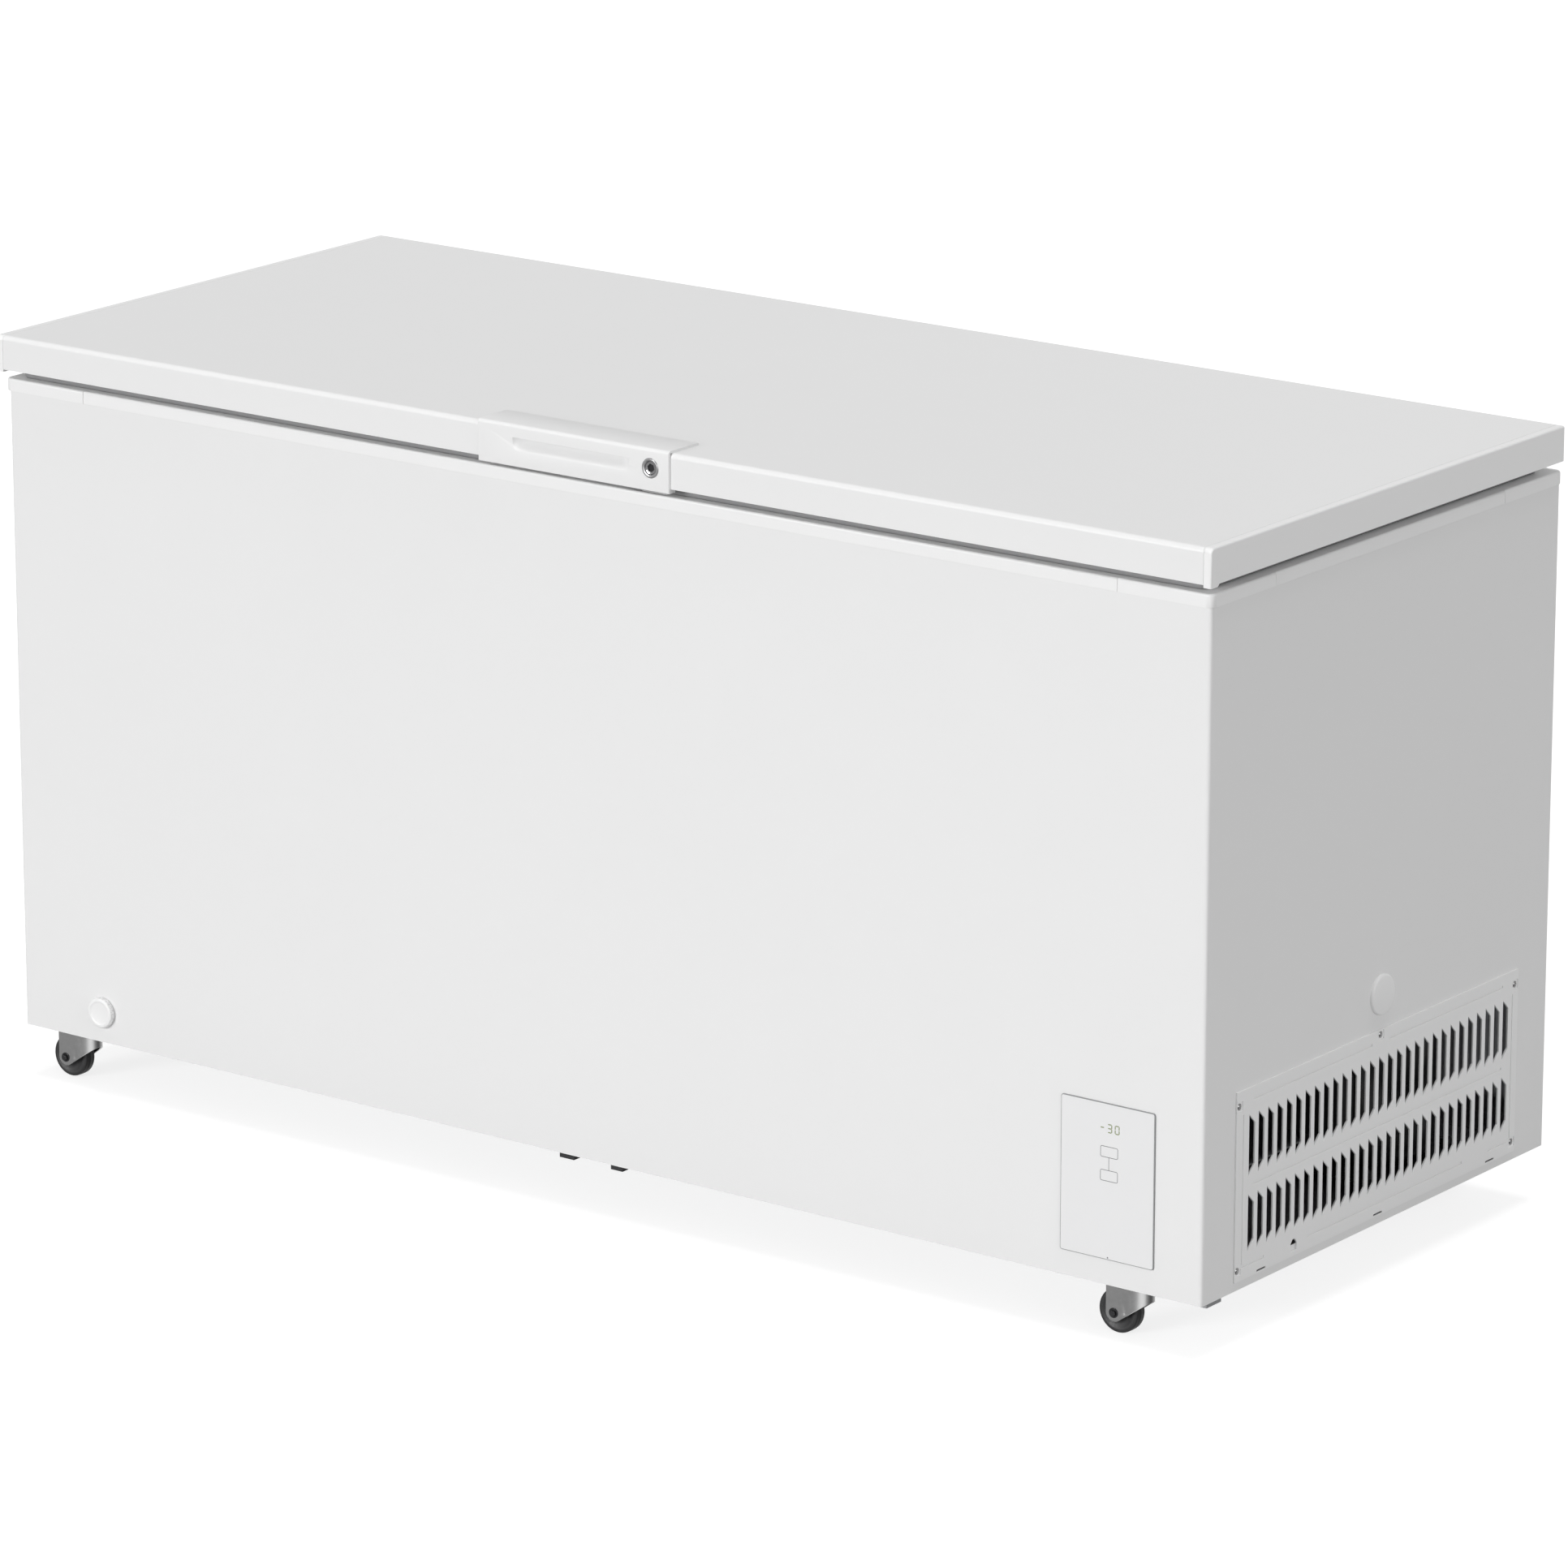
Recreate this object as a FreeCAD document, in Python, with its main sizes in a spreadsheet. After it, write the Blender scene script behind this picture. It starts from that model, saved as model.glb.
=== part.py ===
import FreeCAD, Part
import Sketcher
import math
import os

# Chest freezer on swivel casters, in millimetres.
# +Z up, the front faces -Y, +X to the right as seen from the front.
# Origin: on the floor, under the middle of the whole freezer's box.

Vector = FreeCAD.Vector
Placement = FreeCAD.Placement
Rotation = FreeCAD.Rotation

doc = FreeCAD.newDocument("ChestFreezer")

# ---------------------------------------------------------------- driving sizes
size_rows = [
    ("cabinet_width", 1650, "outer width of the sheet-steel cabinet"),
    ("cabinet_depth", 675, "outer depth of the cabinet"),
    ("cabinet_height", 757, "bottom edge of the cabinet to the underside of the collar"),
    ("floor_gap", 62, "floor to the bottom edge of the cabinet"),
    ("skin", 0.8, "steel sheet of wrapper, back, bottom and machine bay"),
    ("corner_radius", 5, "upright front corners of the wrapper"),
    ("bottom_flange", 14, "inward fold at the wrapper's bottom edge"),
    ("panel_gap", 1.5, "play round the flat panels inside the wrapper"),
    ("wall_insulation", 69, "outside of the cabinet to the inside of the tank"),
    ("floor_insulation", 70, "bottom edge of the cabinet to the tank floor"),
    ("liner_skin", 0.9, "sheet of the inner liner"),
    ("tank_radius", 24, "upright inside corners of the tank"),
    ("bay_width", 220, "machine bay at the right end"),
    ("bay_height", 230, "height of the machine bay"),
    ("step_insulation", 60, "foam between machine bay and tank"),
    ("collar_height", 14.5, "visible edge of the collar"),
    ("collar_overhang", 3, "collar stands out past the wrapper"),
    ("collar_wall", 2, "collar wall"),
    ("collar_lip", 20, "collar's inner lip hangs into the tank"),
    ("collar_leg", 115, "length of a collar corner piece from the cabinet's corner"),
    ("collar_seam", 0.4, "gap between collar pieces"),
    ("collar_round", 2.5, "rounding of the collar's outer top edge"),
    ("lid_gap", 11.6, "collar top to the underside of the lid"),
    ("lid_height", 39.3, "thickness of the lid"),
    ("lid_front_overhang", 11.7, "lid front past the cabinet front"),
    ("lid_side_overhang", 7.2, "lid ends past the cabinet sides"),
    ("lid_back_inset", 2.2, "lid back edge inside the cabinet back"),
    ("lid_skin_wall", 0.8, "steel sheet of the lid"),
    ("lid_round", 5.5, "rounding of the lid's front top edge"),
    ("lid_back_round", 2, "rounding of the lid's back top edge"),
    ("lid_flange", 20, "inward fold at the lid skin's bottom edge"),
    ("cap_width", 10, "width of the lid's end caps"),
    ("cap_wall", 2.5, "wall of the end caps"),
    ("cap_drop", 3, "foot of the end cap below the lid"),
    ("cap_foot", 15, "length of that foot from the front"),
    ("cap_seam", 0.3, "gap between end cap and lid skin"),
    ("lid_liner_wall", 1.5, "sheet of the lid's inner panel"),
    ("plug_depth", 18, "inner panel hangs below the lid"),
    ("plug_gap", 22, "inner panel's plug inside the tank walls"),
    ("plug_radius", 18, "upright corners of that plug"),
    ("gasket_inset", 19, "gasket inside the lid's edges"),
    ("gasket_width", 13, "width of the gasket"),
    ("gasket_clearance", 0.2, "closed gasket above the collar"),
    ("handle_width", 262, "handle"),
    ("handle_shift", 5, "handle centre right of the cabinet's middle"),
    ("handle_proud", 3, "handle in front of the lid"),
    ("handle_rise", 2.5, "handle above the lid"),
    ("handle_drop", 5, "handle below the lid"),
    ("handle_reach", 50, "handle's top strap back from the lid front"),
    ("handle_hem", 8, "handle's return under the lid"),
    ("recess_width", 160, "finger recess"),
    ("recess_shift", -3, "finger recess from the handle's middle"),
    ("recess_low", 8.5, "lower end of the finger recess above the lid's underside"),
    ("recess_high", 27.5, "lip of the finger recess above the lid's underside"),
    ("recess_depth", 9, "recess behind the lid front"),
    ("recess_wall", 2, "shell round the recess"),
    ("lock_from_end", 25, "lock centre in from the handle's right end"),
    ("lock_above", 20.2, "lock centre above the lid's underside"),
    ("lock_ring_radius", 11.9, "rim round the lock"),
    ("lock_proud", 1.2, "rim in front of the handle"),
    ("lock_radius", 8.1, "lock cylinder"),
    ("lock_clearance", 0.05, "running clearance of the lock cylinder"),
    ("sleeve_wall", 1.7, "sleeve of the lock rim"),
    ("sleeve_length", 9, "sleeve of the lock rim behind the handle's face"),
    ("cam_setback", 3, "cam behind the cabinet's front face"),
    ("cam_thickness", 2, "cam plate"),
    ("cam_length", 40, "lock centre to the cam's tip"),
    ("cam_half_width", 5, "half the width of the cam"),
    ("slot_clearance", 1.2, "play round the cam in the striker slot"),
    ("striker_depth", 14, "striker box below the collar's top wall"),
    ("housing_wall", 1.2, "walls of the lock housing"),
    ("striker_wall", 0.9, "walls of the striker box"),
    ("housing_play", 1.5, "play round the cam in the lock housing"),
    ("hinge_spread", 1000, "distance between the two hinges"),
    ("pin_behind", 16, "hinge pin behind the cabinet back"),
    ("pin_above", 8, "hinge pin above the lid's underside"),
    ("pin_radius", 3, "hinge pin"),
    ("pin_clearance", 0.05, "running clearance of the hinge pin"),
    ("hinge_eye", 9, "radius of the hinge eyes"),
    ("hinge_sheet", 3, "steel of the hinges"),
    ("hinge_width", 60, "outer width of the hinge base"),
    ("arm_width", 44, "outer width of the hinge arm"),
    ("hinge_drop", 95, "hinge base below the collar"),
    ("spring_radius", 6.5, "hinge spring"),
    ("spring_play", 0.4, "hinge spring round its pin"),
    ("caster_left", 69, "left casters' swivel axis in from the cabinet side"),
    ("caster_right", 99, "right casters' swivel axis in from the cabinet side"),
    ("caster_inset", 33.5, "casters' swivel axis in from cabinet front and back"),
    ("plate_length", 60, "caster mounting plate along the front"),
    ("plate_width", 52, "caster mounting plate front to back"),
    ("plate_thickness", 2.5, "caster mounting plate"),
    ("race_radius", 13, "swivel race under the plate"),
    ("race_height", 2.5, "swivel race"),
    ("swivel_clearance", 0.3, "fork below the race"),
    ("kingpin_radius", 4, "kingpin that the fork turns on"),
    ("kingpin_clearance", 0.05, "running clearance of the fork on its kingpin"),
    ("fork_sheet", 2.5, "steel of the fork"),
    ("fork_half_width", 16, "half the fork's outer width"),
    ("fork_tail", 10, "fork leg past the axle"),
    ("fork_slope", 0.7, "rise of the fork's lower edge per millimetre"),
    ("wheel_radius", 25, "caster wheel"),
    ("wheel_width", 17, "caster wheel"),
    ("wheel_trail", 24, "axle behind the swivel axis"),
    ("wheel_round", 3.5, "rounding of the tread's edges"),
    ("hub_radius", 8, "wheel hub"),
    ("hub_play", 1, "hub to fork leg"),
    ("axle_radius", 3, "caster axle bolt"),
    ("axle_clearance", 0.05, "running clearance of the wheel on its axle"),
    ("axle_head", 4, "height of the axle bolt's head and nut"),
    ("axle_head_radius", 5, "axle bolt's head and nut"),
    ("grille_width", 554.7, "side grille front to back"),
    ("grille_height", 210.7, "side grille"),
    ("grille_front", 59.3, "side grille from the cabinet front"),
    ("grille_low", 10.1, "side grille above the cabinet's bottom edge"),
    ("grille_sheet", 2, "side grille's sheet"),
    ("grille_margin", 12, "grille overlaps its opening"),
    ("slot_pitch", 17.87, "louvre slots"),
    ("slot_count", 29, "louvre slots in a row"),
    ("slot_width", 11, "louvre slot"),
    ("slot_start", 23.8, "first louvre slot from the grille's edge"),
    ("slot_low_foot", 29.6, "lower row's bottom"),
    ("slot_low_top", 92.7, "lower row's top"),
    ("slot_high_foot", 113.4, "upper row's bottom"),
    ("slot_high_top", 181.1, "upper row's top"),
    ("groove_width", 3, "pressed grooves on the grille"),
    ("groove_depth", 1.2, "pressed grooves on the grille"),
    ("screw_seat", 10.8, "square screw seats of the grille"),
    ("screw_seat_depth", 1.2, "depth of those seats"),
    ("screw_head_radius", 3.6, "screw heads of the covers"),
    ("cap_from_front", 338, "round side cap from the cabinet front"),
    ("cap_up", 259.7, "round side cap above the cabinet's bottom edge"),
    ("cap_radius", 22.5, "round side cap"),
    ("cap_proud", 5, "round side cap"),
    ("cap_stem_radius", 14, "stem of the side cap"),
    ("cap_stem", 8, "length of that stem"),
    ("stem_play", 0.3, "stems in their holes"),
    ("panel_width", 119.7, "control panel"),
    ("panel_height", 173.2, "control panel"),
    ("panel_from_left", 1470.2, "control panel from the cabinet's left side"),
    ("panel_low", 28.5, "control panel above the cabinet's bottom edge"),
    ("panel_rim", 0.9, "visible rim round the control glass"),
    ("panel_round", 3, "corners of the control panel"),
    ("glass_proud", 1.9, "control glass in front of the cabinet"),
    ("panel_cut", 5, "control panel overlaps its cut-out"),
    ("control_depth", 26, "control housing"),
    ("control_wall", 2, "walls of the control housing"),
    ("drain_from_left", 120.5, "drain from the cabinet's left side"),
    ("drain_up", 36.7, "drain above the cabinet's bottom edge"),
    ("drain_plug_radius", 18.2, "head of the drain plug"),
    ("drain_plug_head", 7, "head of the drain plug"),
    ("drain_bore", 9.5, "bore of the drain tube"),
    ("drain_wall", 3, "wall of the drain tube"),
    ("drain_inset", 110, "tank outlet from the cabinet front"),
    ("compressor_radius", 78, "compressor can"),
    ("compressor_tall", 168, "compressor can"),
    ("compressor_from_back", 190, "compressor's axis from the cabinet back"),
    ("foot_height", 18, "rubber feet of the compressor"),
    ("tray_sheet", 1.5, "compressor tray"),
    ("rail_height", 6, "tray rails below the cabinet"),
    ("rail_length", 28, "tray rails, front to back"),
    ("rail_left_width", 21, "left tray rail"),
    ("rail_right_width", 15, "right tray rail"),
    ("coil_radius", 4, "evaporator tube"),
    ("coil_count", 5, "evaporator turns below the step, and again above it"),
    ("condenser_radius", 2.5, "condenser tube"),
    ("condenser_runs", 8, "condenser tube's level runs"),
    ("basket_width", 280, "hanging basket along the freezer"),
    ("basket_depth", 215, "hanging basket"),
    ("basket_play", 6, "hanging basket inside the collar"),
    ("basket_wire", 4, "wires of the basket"),
    ("basket_drop", 24, "basket rim below the collar's top"),
]

# ---------------------------------------------------------------- places worked out from the sizes
place_rows = [
    ("left", "-size.cabinet_width / 2"),
    ("right", "size.cabinet_width / 2"),
    ("front_reach", "size.lid_front_overhang + size.handle_proud + size.lock_proud"),
    ("hinge_reach", "size.pin_behind + size.hinge_eye"),
    ("front", "(place.front_reach - place.hinge_reach - size.cabinet_depth) / 2"),
    ("back", "place.front + size.cabinet_depth"),
    ("middle", "(place.front + place.back) / 2"),
    ("under", "size.floor_gap"),
    ("collar_low", "place.under + size.cabinet_height"),
    ("collar_top", "place.collar_low + size.collar_height"),
    ("ledge", "place.collar_top - size.collar_wall"),
    ("lid_low", "place.collar_top + size.lid_gap"),
    ("lid_top", "place.lid_low + size.lid_height"),
    ("lid_left", "place.left - size.lid_side_overhang"),
    ("lid_right", "place.right + size.lid_side_overhang"),
    ("lid_front", "place.front - size.lid_front_overhang"),
    ("lid_back", "place.back - size.lid_back_inset"),
    ("skin_left", "place.lid_left + size.cap_width"),
    ("skin_right", "place.lid_right - size.cap_width"),
    ("tank_left", "place.left + size.wall_insulation"),
    ("tank_right", "place.right - size.wall_insulation"),
    ("tank_front", "place.front + size.wall_insulation"),
    ("tank_back", "place.back - size.wall_insulation"),
    ("tank_floor", "place.under + size.floor_insulation"),
    ("bay_left", "place.right - size.bay_width"),
    ("bay_top", "place.under + size.bay_height"),
    ("step_left", "place.bay_left - size.step_insulation"),
    ("step_floor", "place.bay_top + size.step_insulation"),
    ("handle_left", "size.handle_shift - size.handle_width / 2"),
    ("handle_right", "size.handle_shift + size.handle_width / 2"),
    ("handle_face", "place.lid_front - size.handle_proud"),
    ("recess_left", "size.handle_shift + size.recess_shift - size.recess_width / 2"),
    ("recess_right", "place.recess_left + size.recess_width"),
    ("lock_x", "place.handle_right - size.lock_from_end"),
    ("lock_z", "place.lid_low + size.lock_above"),
    ("cam_front", "place.front + size.cam_setback"),
    ("cam_back", "place.cam_front + size.cam_thickness"),
    ("pin_y", "place.back + size.pin_behind"),
    ("pin_z", "place.lid_low + size.pin_above"),
    ("fork_top", "place.under - size.plate_thickness - size.race_height - size.swivel_clearance"),
    ("grille_y", "place.front + size.grille_front"),
    ("grille_z", "place.under + size.grille_low"),
    ("side_cap_y", "place.front + size.cap_from_front"),
    ("side_cap_z", "place.under + size.cap_up"),
    ("panel_left", "place.left + size.panel_from_left"),
    ("panel_right", "place.panel_left + size.panel_width"),
    ("panel_foot", "place.under + size.panel_low"),
    ("panel_head", "place.panel_foot + size.panel_height"),
    ("drain_x", "place.left + size.drain_from_left"),
    ("drain_y", "place.front + size.drain_inset"),
    ("drain_z", "place.under + size.drain_up"),
    ("compressor_x", "place.right - size.bay_width / 2"),
    ("compressor_y", "place.back - size.compressor_from_back"),
    ("compressor_z", "place.under + size.tray_sheet + size.foot_height"),
    ("basket_left", "place.tank_left + size.collar_wall + size.basket_play"),
    ("basket_right", "place.basket_left + size.basket_width"),
    ("basket_front", "place.tank_front + size.collar_wall + size.basket_play"),
    ("basket_back", "place.tank_back - size.collar_wall - size.basket_play"),
    ("basket_rim", "place.collar_top - size.basket_drop"),
    ("basket_floor", "place.basket_rim - size.basket_depth"),
]


def make_sheets():
    size = doc.addObject("Spreadsheet::Sheet", "size")
    for row, (alias, value, note) in enumerate(size_rows, start=1):
        size.set(f"A{row}", note)
        size.set(f"B{row}", str(value))
        size.setAlias(f"B{row}", alias)
    place = doc.addObject("Spreadsheet::Sheet", "place")
    for row, (alias, formula) in enumerate(place_rows, start=1):
        here = formula.replace("place.", "")
        place.set(f"B{row}", "=" + here)
        place.setAlias(f"B{row}", alias)
    doc.recompute()
    return size


size_sheet = make_sheets()


def value(formula):
    return float(size_sheet.evalExpression(str(formula)))


# ---------------------------------------------------------------- small makers
turn_to = {
    "X": Rotation(Vector(0, 0, 1), Vector(1, 0, 0)),
    "Y": Rotation(Vector(0, 0, 1), Vector(0, 1, 0)),
    "Z": Rotation(),
}


def bind_base(thing, corner):
    for axis, formula in zip("xyz", corner):
        thing.setExpression(f"Placement.Base.{axis}", str(formula))


def block(name, low, high):
    # a box between two opposite corners
    box = doc.addObject("Part::Box", name)
    for side, start, end in zip(("Length", "Width", "Height"), low, high):
        box.setExpression(side, f"({end}) - ({start})")
    bind_base(box, low)
    return box


def rod(name, axis, start, radius, length):
    # a cylinder from its start point along +axis
    cylinder = doc.addObject("Part::Cylinder", name)
    cylinder.Placement = Placement(Vector(), turn_to[axis])
    cylinder.setExpression("Radius", str(radius))
    cylinder.setExpression("Height", str(length))
    bind_base(cylinder, start)
    return cylinder


def fuse(name, *pieces):
    fused = doc.addObject("Part::MultiFuse", name)
    fused.Shapes = list(pieces)
    fused.Refine = True
    return fused


def cut(name, base, *tools):
    tool = tools[0] if len(tools) == 1 else fuse(name + "_tools", *tools)
    result = doc.addObject("Part::Cut", name)
    result.Base = base
    result.Tool = tool
    result.Refine = True
    return result


def common(name, base, tool):
    result = doc.addObject("Part::Common", name)
    result.Base = base
    result.Tool = tool
    return result


def group(name, *pieces):
    # identical or matching loose solids that share one node
    compound = doc.addObject("Part::Compound", name)
    compound.Links = list(pieces)
    return compound


def edge_numbers(shape, wanted):
    return [number for number, edge in enumerate(shape.Edges, start=1) if wanted(edge)]


def is_along(edge, axis):
    start, end = edge.firstVertex().Point, edge.lastVertex().Point
    run = end.sub(start)
    length = run.Length
    return length > 0.01 and abs(abs(getattr(run, axis.lower())) - length) < 0.001


def rounded(name, base, radius, wanted):
    # rounds the wanted edges of a shape
    doc.recompute()
    fillet = doc.addObject("Part::Fillet", name)
    fillet.Base = base
    numbers = edge_numbers(base.Shape, wanted)
    if not numbers:
        raise RuntimeError(name + " rounds nothing")
    fillet.Edges = [(number, value(radius), value(radius)) for number in numbers]
    return fillet


def rounded_block(name, low, high, radius, axis="Z"):
    # a box with its four edges along the axis rounded
    return rounded(name, block(name + "_box", low, high), radius, lambda edge: is_along(edge, axis))


def near(a, formula, reach=0.01):
    return abs(a - value(formula)) < reach


# ---------------------------------------------------------------- PartDesign makers
def make_body(name, corner=("0", "0", "0")):
    body = doc.addObject("PartDesign::Body", name)
    bind_base(body, corner)
    return body


def sketch(body, name, plane, loops=(), circles=()):
    # closed outlines whose corners are tied to formulas
    drawing = body.newObject("Sketcher::SketchObject", name)
    support = [part for part in body.Origin.OriginFeatures if part.Role == plane][0]
    drawing.AttachmentSupport = (support, [""])
    drawing.MapMode = "FlatFace"
    for loop in loops:
        points = [Vector(value(across), value(up), 0) for across, up in loop]
        first = drawing.GeometryCount
        count = len(points)
        for index in range(count):
            drawing.addGeometry(Part.LineSegment(points[index], points[(index + 1) % count]))
        for index in range(count):
            after = first + (index + 1) % count
            drawing.addConstraint(Sketcher.Constraint("Coincident", first + index, 2, after, 1))
        for index, (across, up) in enumerate(loop):
            tie(drawing, "DistanceX", first + index, 1, points[index].x, across)
            tie(drawing, "DistanceY", first + index, 1, points[index].y, up)
    for across, up, radius in circles:
        centre = Vector(value(across), value(up), 0)
        ring = drawing.addGeometry(Part.Circle(centre, Vector(0, 0, 1), value(radius)))
        tie(drawing, "DistanceX", ring, 3, centre.x, across)
        tie(drawing, "DistanceY", ring, 3, centre.y, up)
        number = drawing.addConstraint(Sketcher.Constraint("Radius", ring, value(radius)))
        drawing.setExpression(f"Constraints[{number}]", str(radius))
    return drawing


def tie(drawing, kind, element, point, start, formula):
    number = drawing.addConstraint(Sketcher.Constraint(kind, -1, 1, element, point, start))
    drawing.setExpression(f"Constraints[{number}]", str(formula))


def pad(body, profile, length, name):
    feature = body.newObject("PartDesign::Pad", name)
    feature.Profile = profile
    feature.setExpression("Length", str(length))
    doc.recompute()
    return feature


def pocket(body, profile, length, name, other_way=False):
    before = body.Tip.Shape.Volume
    feature = body.newObject("PartDesign::Pocket", name)
    feature.Profile = profile
    feature.Reversed = other_way
    feature.setExpression("Length", str(length))
    doc.recompute()
    if feature.Shape.Volume >= before:
        raise RuntimeError(name + " cuts nothing")
    return feature


def round_body(body, radius, wanted, name):
    base = body.Tip
    numbers = edge_numbers(base.Shape, wanted)
    if not numbers:
        raise RuntimeError(name + " rounds nothing")
    feature = body.newObject("PartDesign::Fillet", name)
    feature.Base = (base, [f"Edge{number}" for number in numbers])
    feature.setExpression("Radius", str(radius))
    doc.recompute()
    return feature


def revolve(body, profile, axis_name, name):
    feature = body.newObject("PartDesign::Revolution", name)
    feature.Profile = profile
    feature.ReferenceAxis = (profile, [axis_name])
    feature.Angle = 360
    doc.recompute()
    return feature


def prism(name, plane, loop, length, corner=("0", "0", "0")):
    # an outline drawn out: YZ_Plane runs to +X, XZ_Plane to -Y, XY_Plane to +Z
    body = make_body(name, corner)
    profile = sketch(body, name + "_outline", plane, [loop])
    pad(body, profile, length, name + "_pad")
    return body


def rectangle(left, low, right, high):
    return [(left, low), (right, low), (right, high), (left, high)]


def pipe(name, points, radius, bend):
    # a round tube of straight runs joined by arcs
    corners = [Vector(*[value(part) for part in point]) for point in points]
    edges = []
    start = corners[0]
    for index in range(1, len(corners) - 1):
        corner = corners[index]
        back = corners[index - 1].sub(corner).normalize()
        ahead = corners[index + 1].sub(corner).normalize()
        half = back.getAngle(ahead) / 2
        setback = value(bend) / math.tan(half)
        arc_start = corner + back * setback
        arc_end = corner + ahead * setback
        inward = (back + ahead).normalize()
        middle = corner + inward * (value(bend) / math.sin(half) - value(bend))
        edges.append(Part.LineSegment(start, arc_start).toShape())
        edges.append(Part.Arc(arc_start, middle, arc_end).toShape())
        start = arc_end
    edges.append(Part.LineSegment(start, corners[-1]).toShape())
    path = Part.Wire(edges)
    direction = corners[1].sub(corners[0]).normalize()
    circle = Part.Wire([Part.Circle(corners[0], direction, value(radius)).toShape()])
    tube = doc.addObject("Part::Feature", name)
    tube.Shape = path.makePipeShell([circle], True, False)
    return tube


# ---------------------------------------------------------------- cabinet shell
def make_wrapper():
    # one sheet bent round the front and both sides, with a folded bottom edge
    body = make_body("wrapper_sheet", ("0", "0", "place.under"))
    outline = [
        ("place.left", "place.back"), ("place.left", "place.front"),
        ("place.right", "place.front"), ("place.right", "place.back"),
        ("place.right - size.skin", "place.back"),
        ("place.right - size.skin", "place.front + size.skin"),
        ("place.left + size.skin", "place.front + size.skin"),
        ("place.left + size.skin", "place.back"),
    ]
    pad(body, sketch(body, "wrapper_plan", "XY_Plane", [outline]), "place.ledge - place.under", "wrapper_pad")
    fold = [
        ("place.left", "place.back"), ("place.left", "place.front"),
        ("place.right", "place.front"), ("place.right", "place.front + size.bottom_flange"),
        ("place.left + size.bottom_flange", "place.front + size.bottom_flange"),
        ("place.left + size.bottom_flange", "place.back"),
    ]
    pad(body, sketch(body, "wrapper_fold", "XY_Plane", [fold]), "size.skin", "wrapper_fold_pad")
    round_body(body, "size.corner_radius", lambda edge: is_along(edge, "Z")
               and near(edge.CenterOfMass.y, "place.front"), "wrapper_outer_round")
    round_body(body, "size.corner_radius - size.skin", lambda edge: is_along(edge, "Z")
               and near(edge.CenterOfMass.y, "place.front + size.skin"), "wrapper_inner_round")
    grille_hole = block(
        "grille_hole",
        ("place.right - 2 * size.skin", "place.grille_y + size.grille_margin",
         "place.grille_z + size.grille_margin"),
        ("place.right + 1", "place.grille_y + size.grille_width - size.grille_margin",
         "place.grille_z + size.grille_height - size.grille_margin"))
    panel_hole = block(
        "panel_hole",
        ("place.panel_left + size.panel_cut", "place.front - 1", "place.panel_foot + size.panel_cut"),
        ("place.panel_right - size.panel_cut", "place.front + 2 * size.skin",
         "place.panel_head - size.panel_cut"))
    drain_hole = rod("drain_hole", "Y", ("place.drain_x", "place.front - 1", "place.drain_z"),
                     "size.drain_bore", "2 * size.skin + 1")
    cap_hole = rod("cap_hole", "X", ("place.right - 2 * size.skin", "place.side_cap_y", "place.side_cap_z"),
                   "size.cap_stem_radius + size.stem_play", "2 * size.skin + 1")
    return cut("outer_wrapper", body, grille_hole, panel_hole, drain_hole, cap_hole)


def rear_opening(name, margin, low_y, high_y):
    return block(name, (f"place.bay_left + {margin}", low_y, f"place.under + {margin}"),
                 (f"place.right - {margin}", high_y, f"place.bay_top - {margin}"))


def make_flat_panels():
    back_sheet = block("back_sheet", ("place.left + size.skin", "place.back - size.skin", "place.under"),
                       ("place.right - size.skin", "place.back", "place.ledge"))
    opening = rear_opening("rear_hole", 24, "place.back - 2 * size.skin", "place.back + 1")
    bottom_panel = block(
        "bottom_panel",
        ("place.left + size.bottom_flange", "place.front + size.bottom_flange", "place.under"),
        ("place.bay_left", "place.back - size.skin", "place.under + size.skin"))
    bay_wall = block("bay_wall", ("place.bay_left", "place.front + size.bottom_flange", "place.under"),
                     ("place.bay_left + size.skin", "place.back - size.skin", "place.bay_top"))
    bay_roof = block("bay_roof", ("place.bay_left", "place.front + size.panel_gap", "place.bay_top - size.skin"),
                     ("place.right - size.panel_gap", "place.back - size.skin", "place.bay_top"))
    return [cut("back_panel", back_sheet, opening), bottom_panel, fuse("compartment_panel", bay_wall, bay_roof)]


def tank_solid(name, growth):
    # the tank's inside, grown outwards by the liner's sheet when asked
    deep = block(name + "_deep",
                 (f"place.tank_left - {growth}", f"place.tank_front - {growth}", f"place.tank_floor - {growth}"),
                 (f"place.step_left + {growth}", f"place.tank_back + {growth}", "place.ledge"))
    shelf = block(name + "_shelf",
                  (f"place.tank_left - {growth}", f"place.tank_front - {growth}",
                   f"place.step_floor - {growth}"),
                  (f"place.tank_right + {growth}", f"place.tank_back + {growth}", "place.ledge"))
    whole = fuse(name + "_whole", deep, shelf)
    return rounded(name, whole, f"size.tank_radius + {growth}", lambda edge: is_along(edge, "Z"))


def drain_pipe(name, radius, start, end):
    level = rod(name + "_level", "Y", ("place.drain_x", start, "place.drain_z"), radius, f"{end} - ({start})")
    upright = rod(name + "_upright", "Z", ("place.drain_x", "place.drain_y", "place.drain_z"),
                  radius, "place.tank_floor - size.liner_skin - place.drain_z")
    return fuse(name, level, upright)


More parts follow.
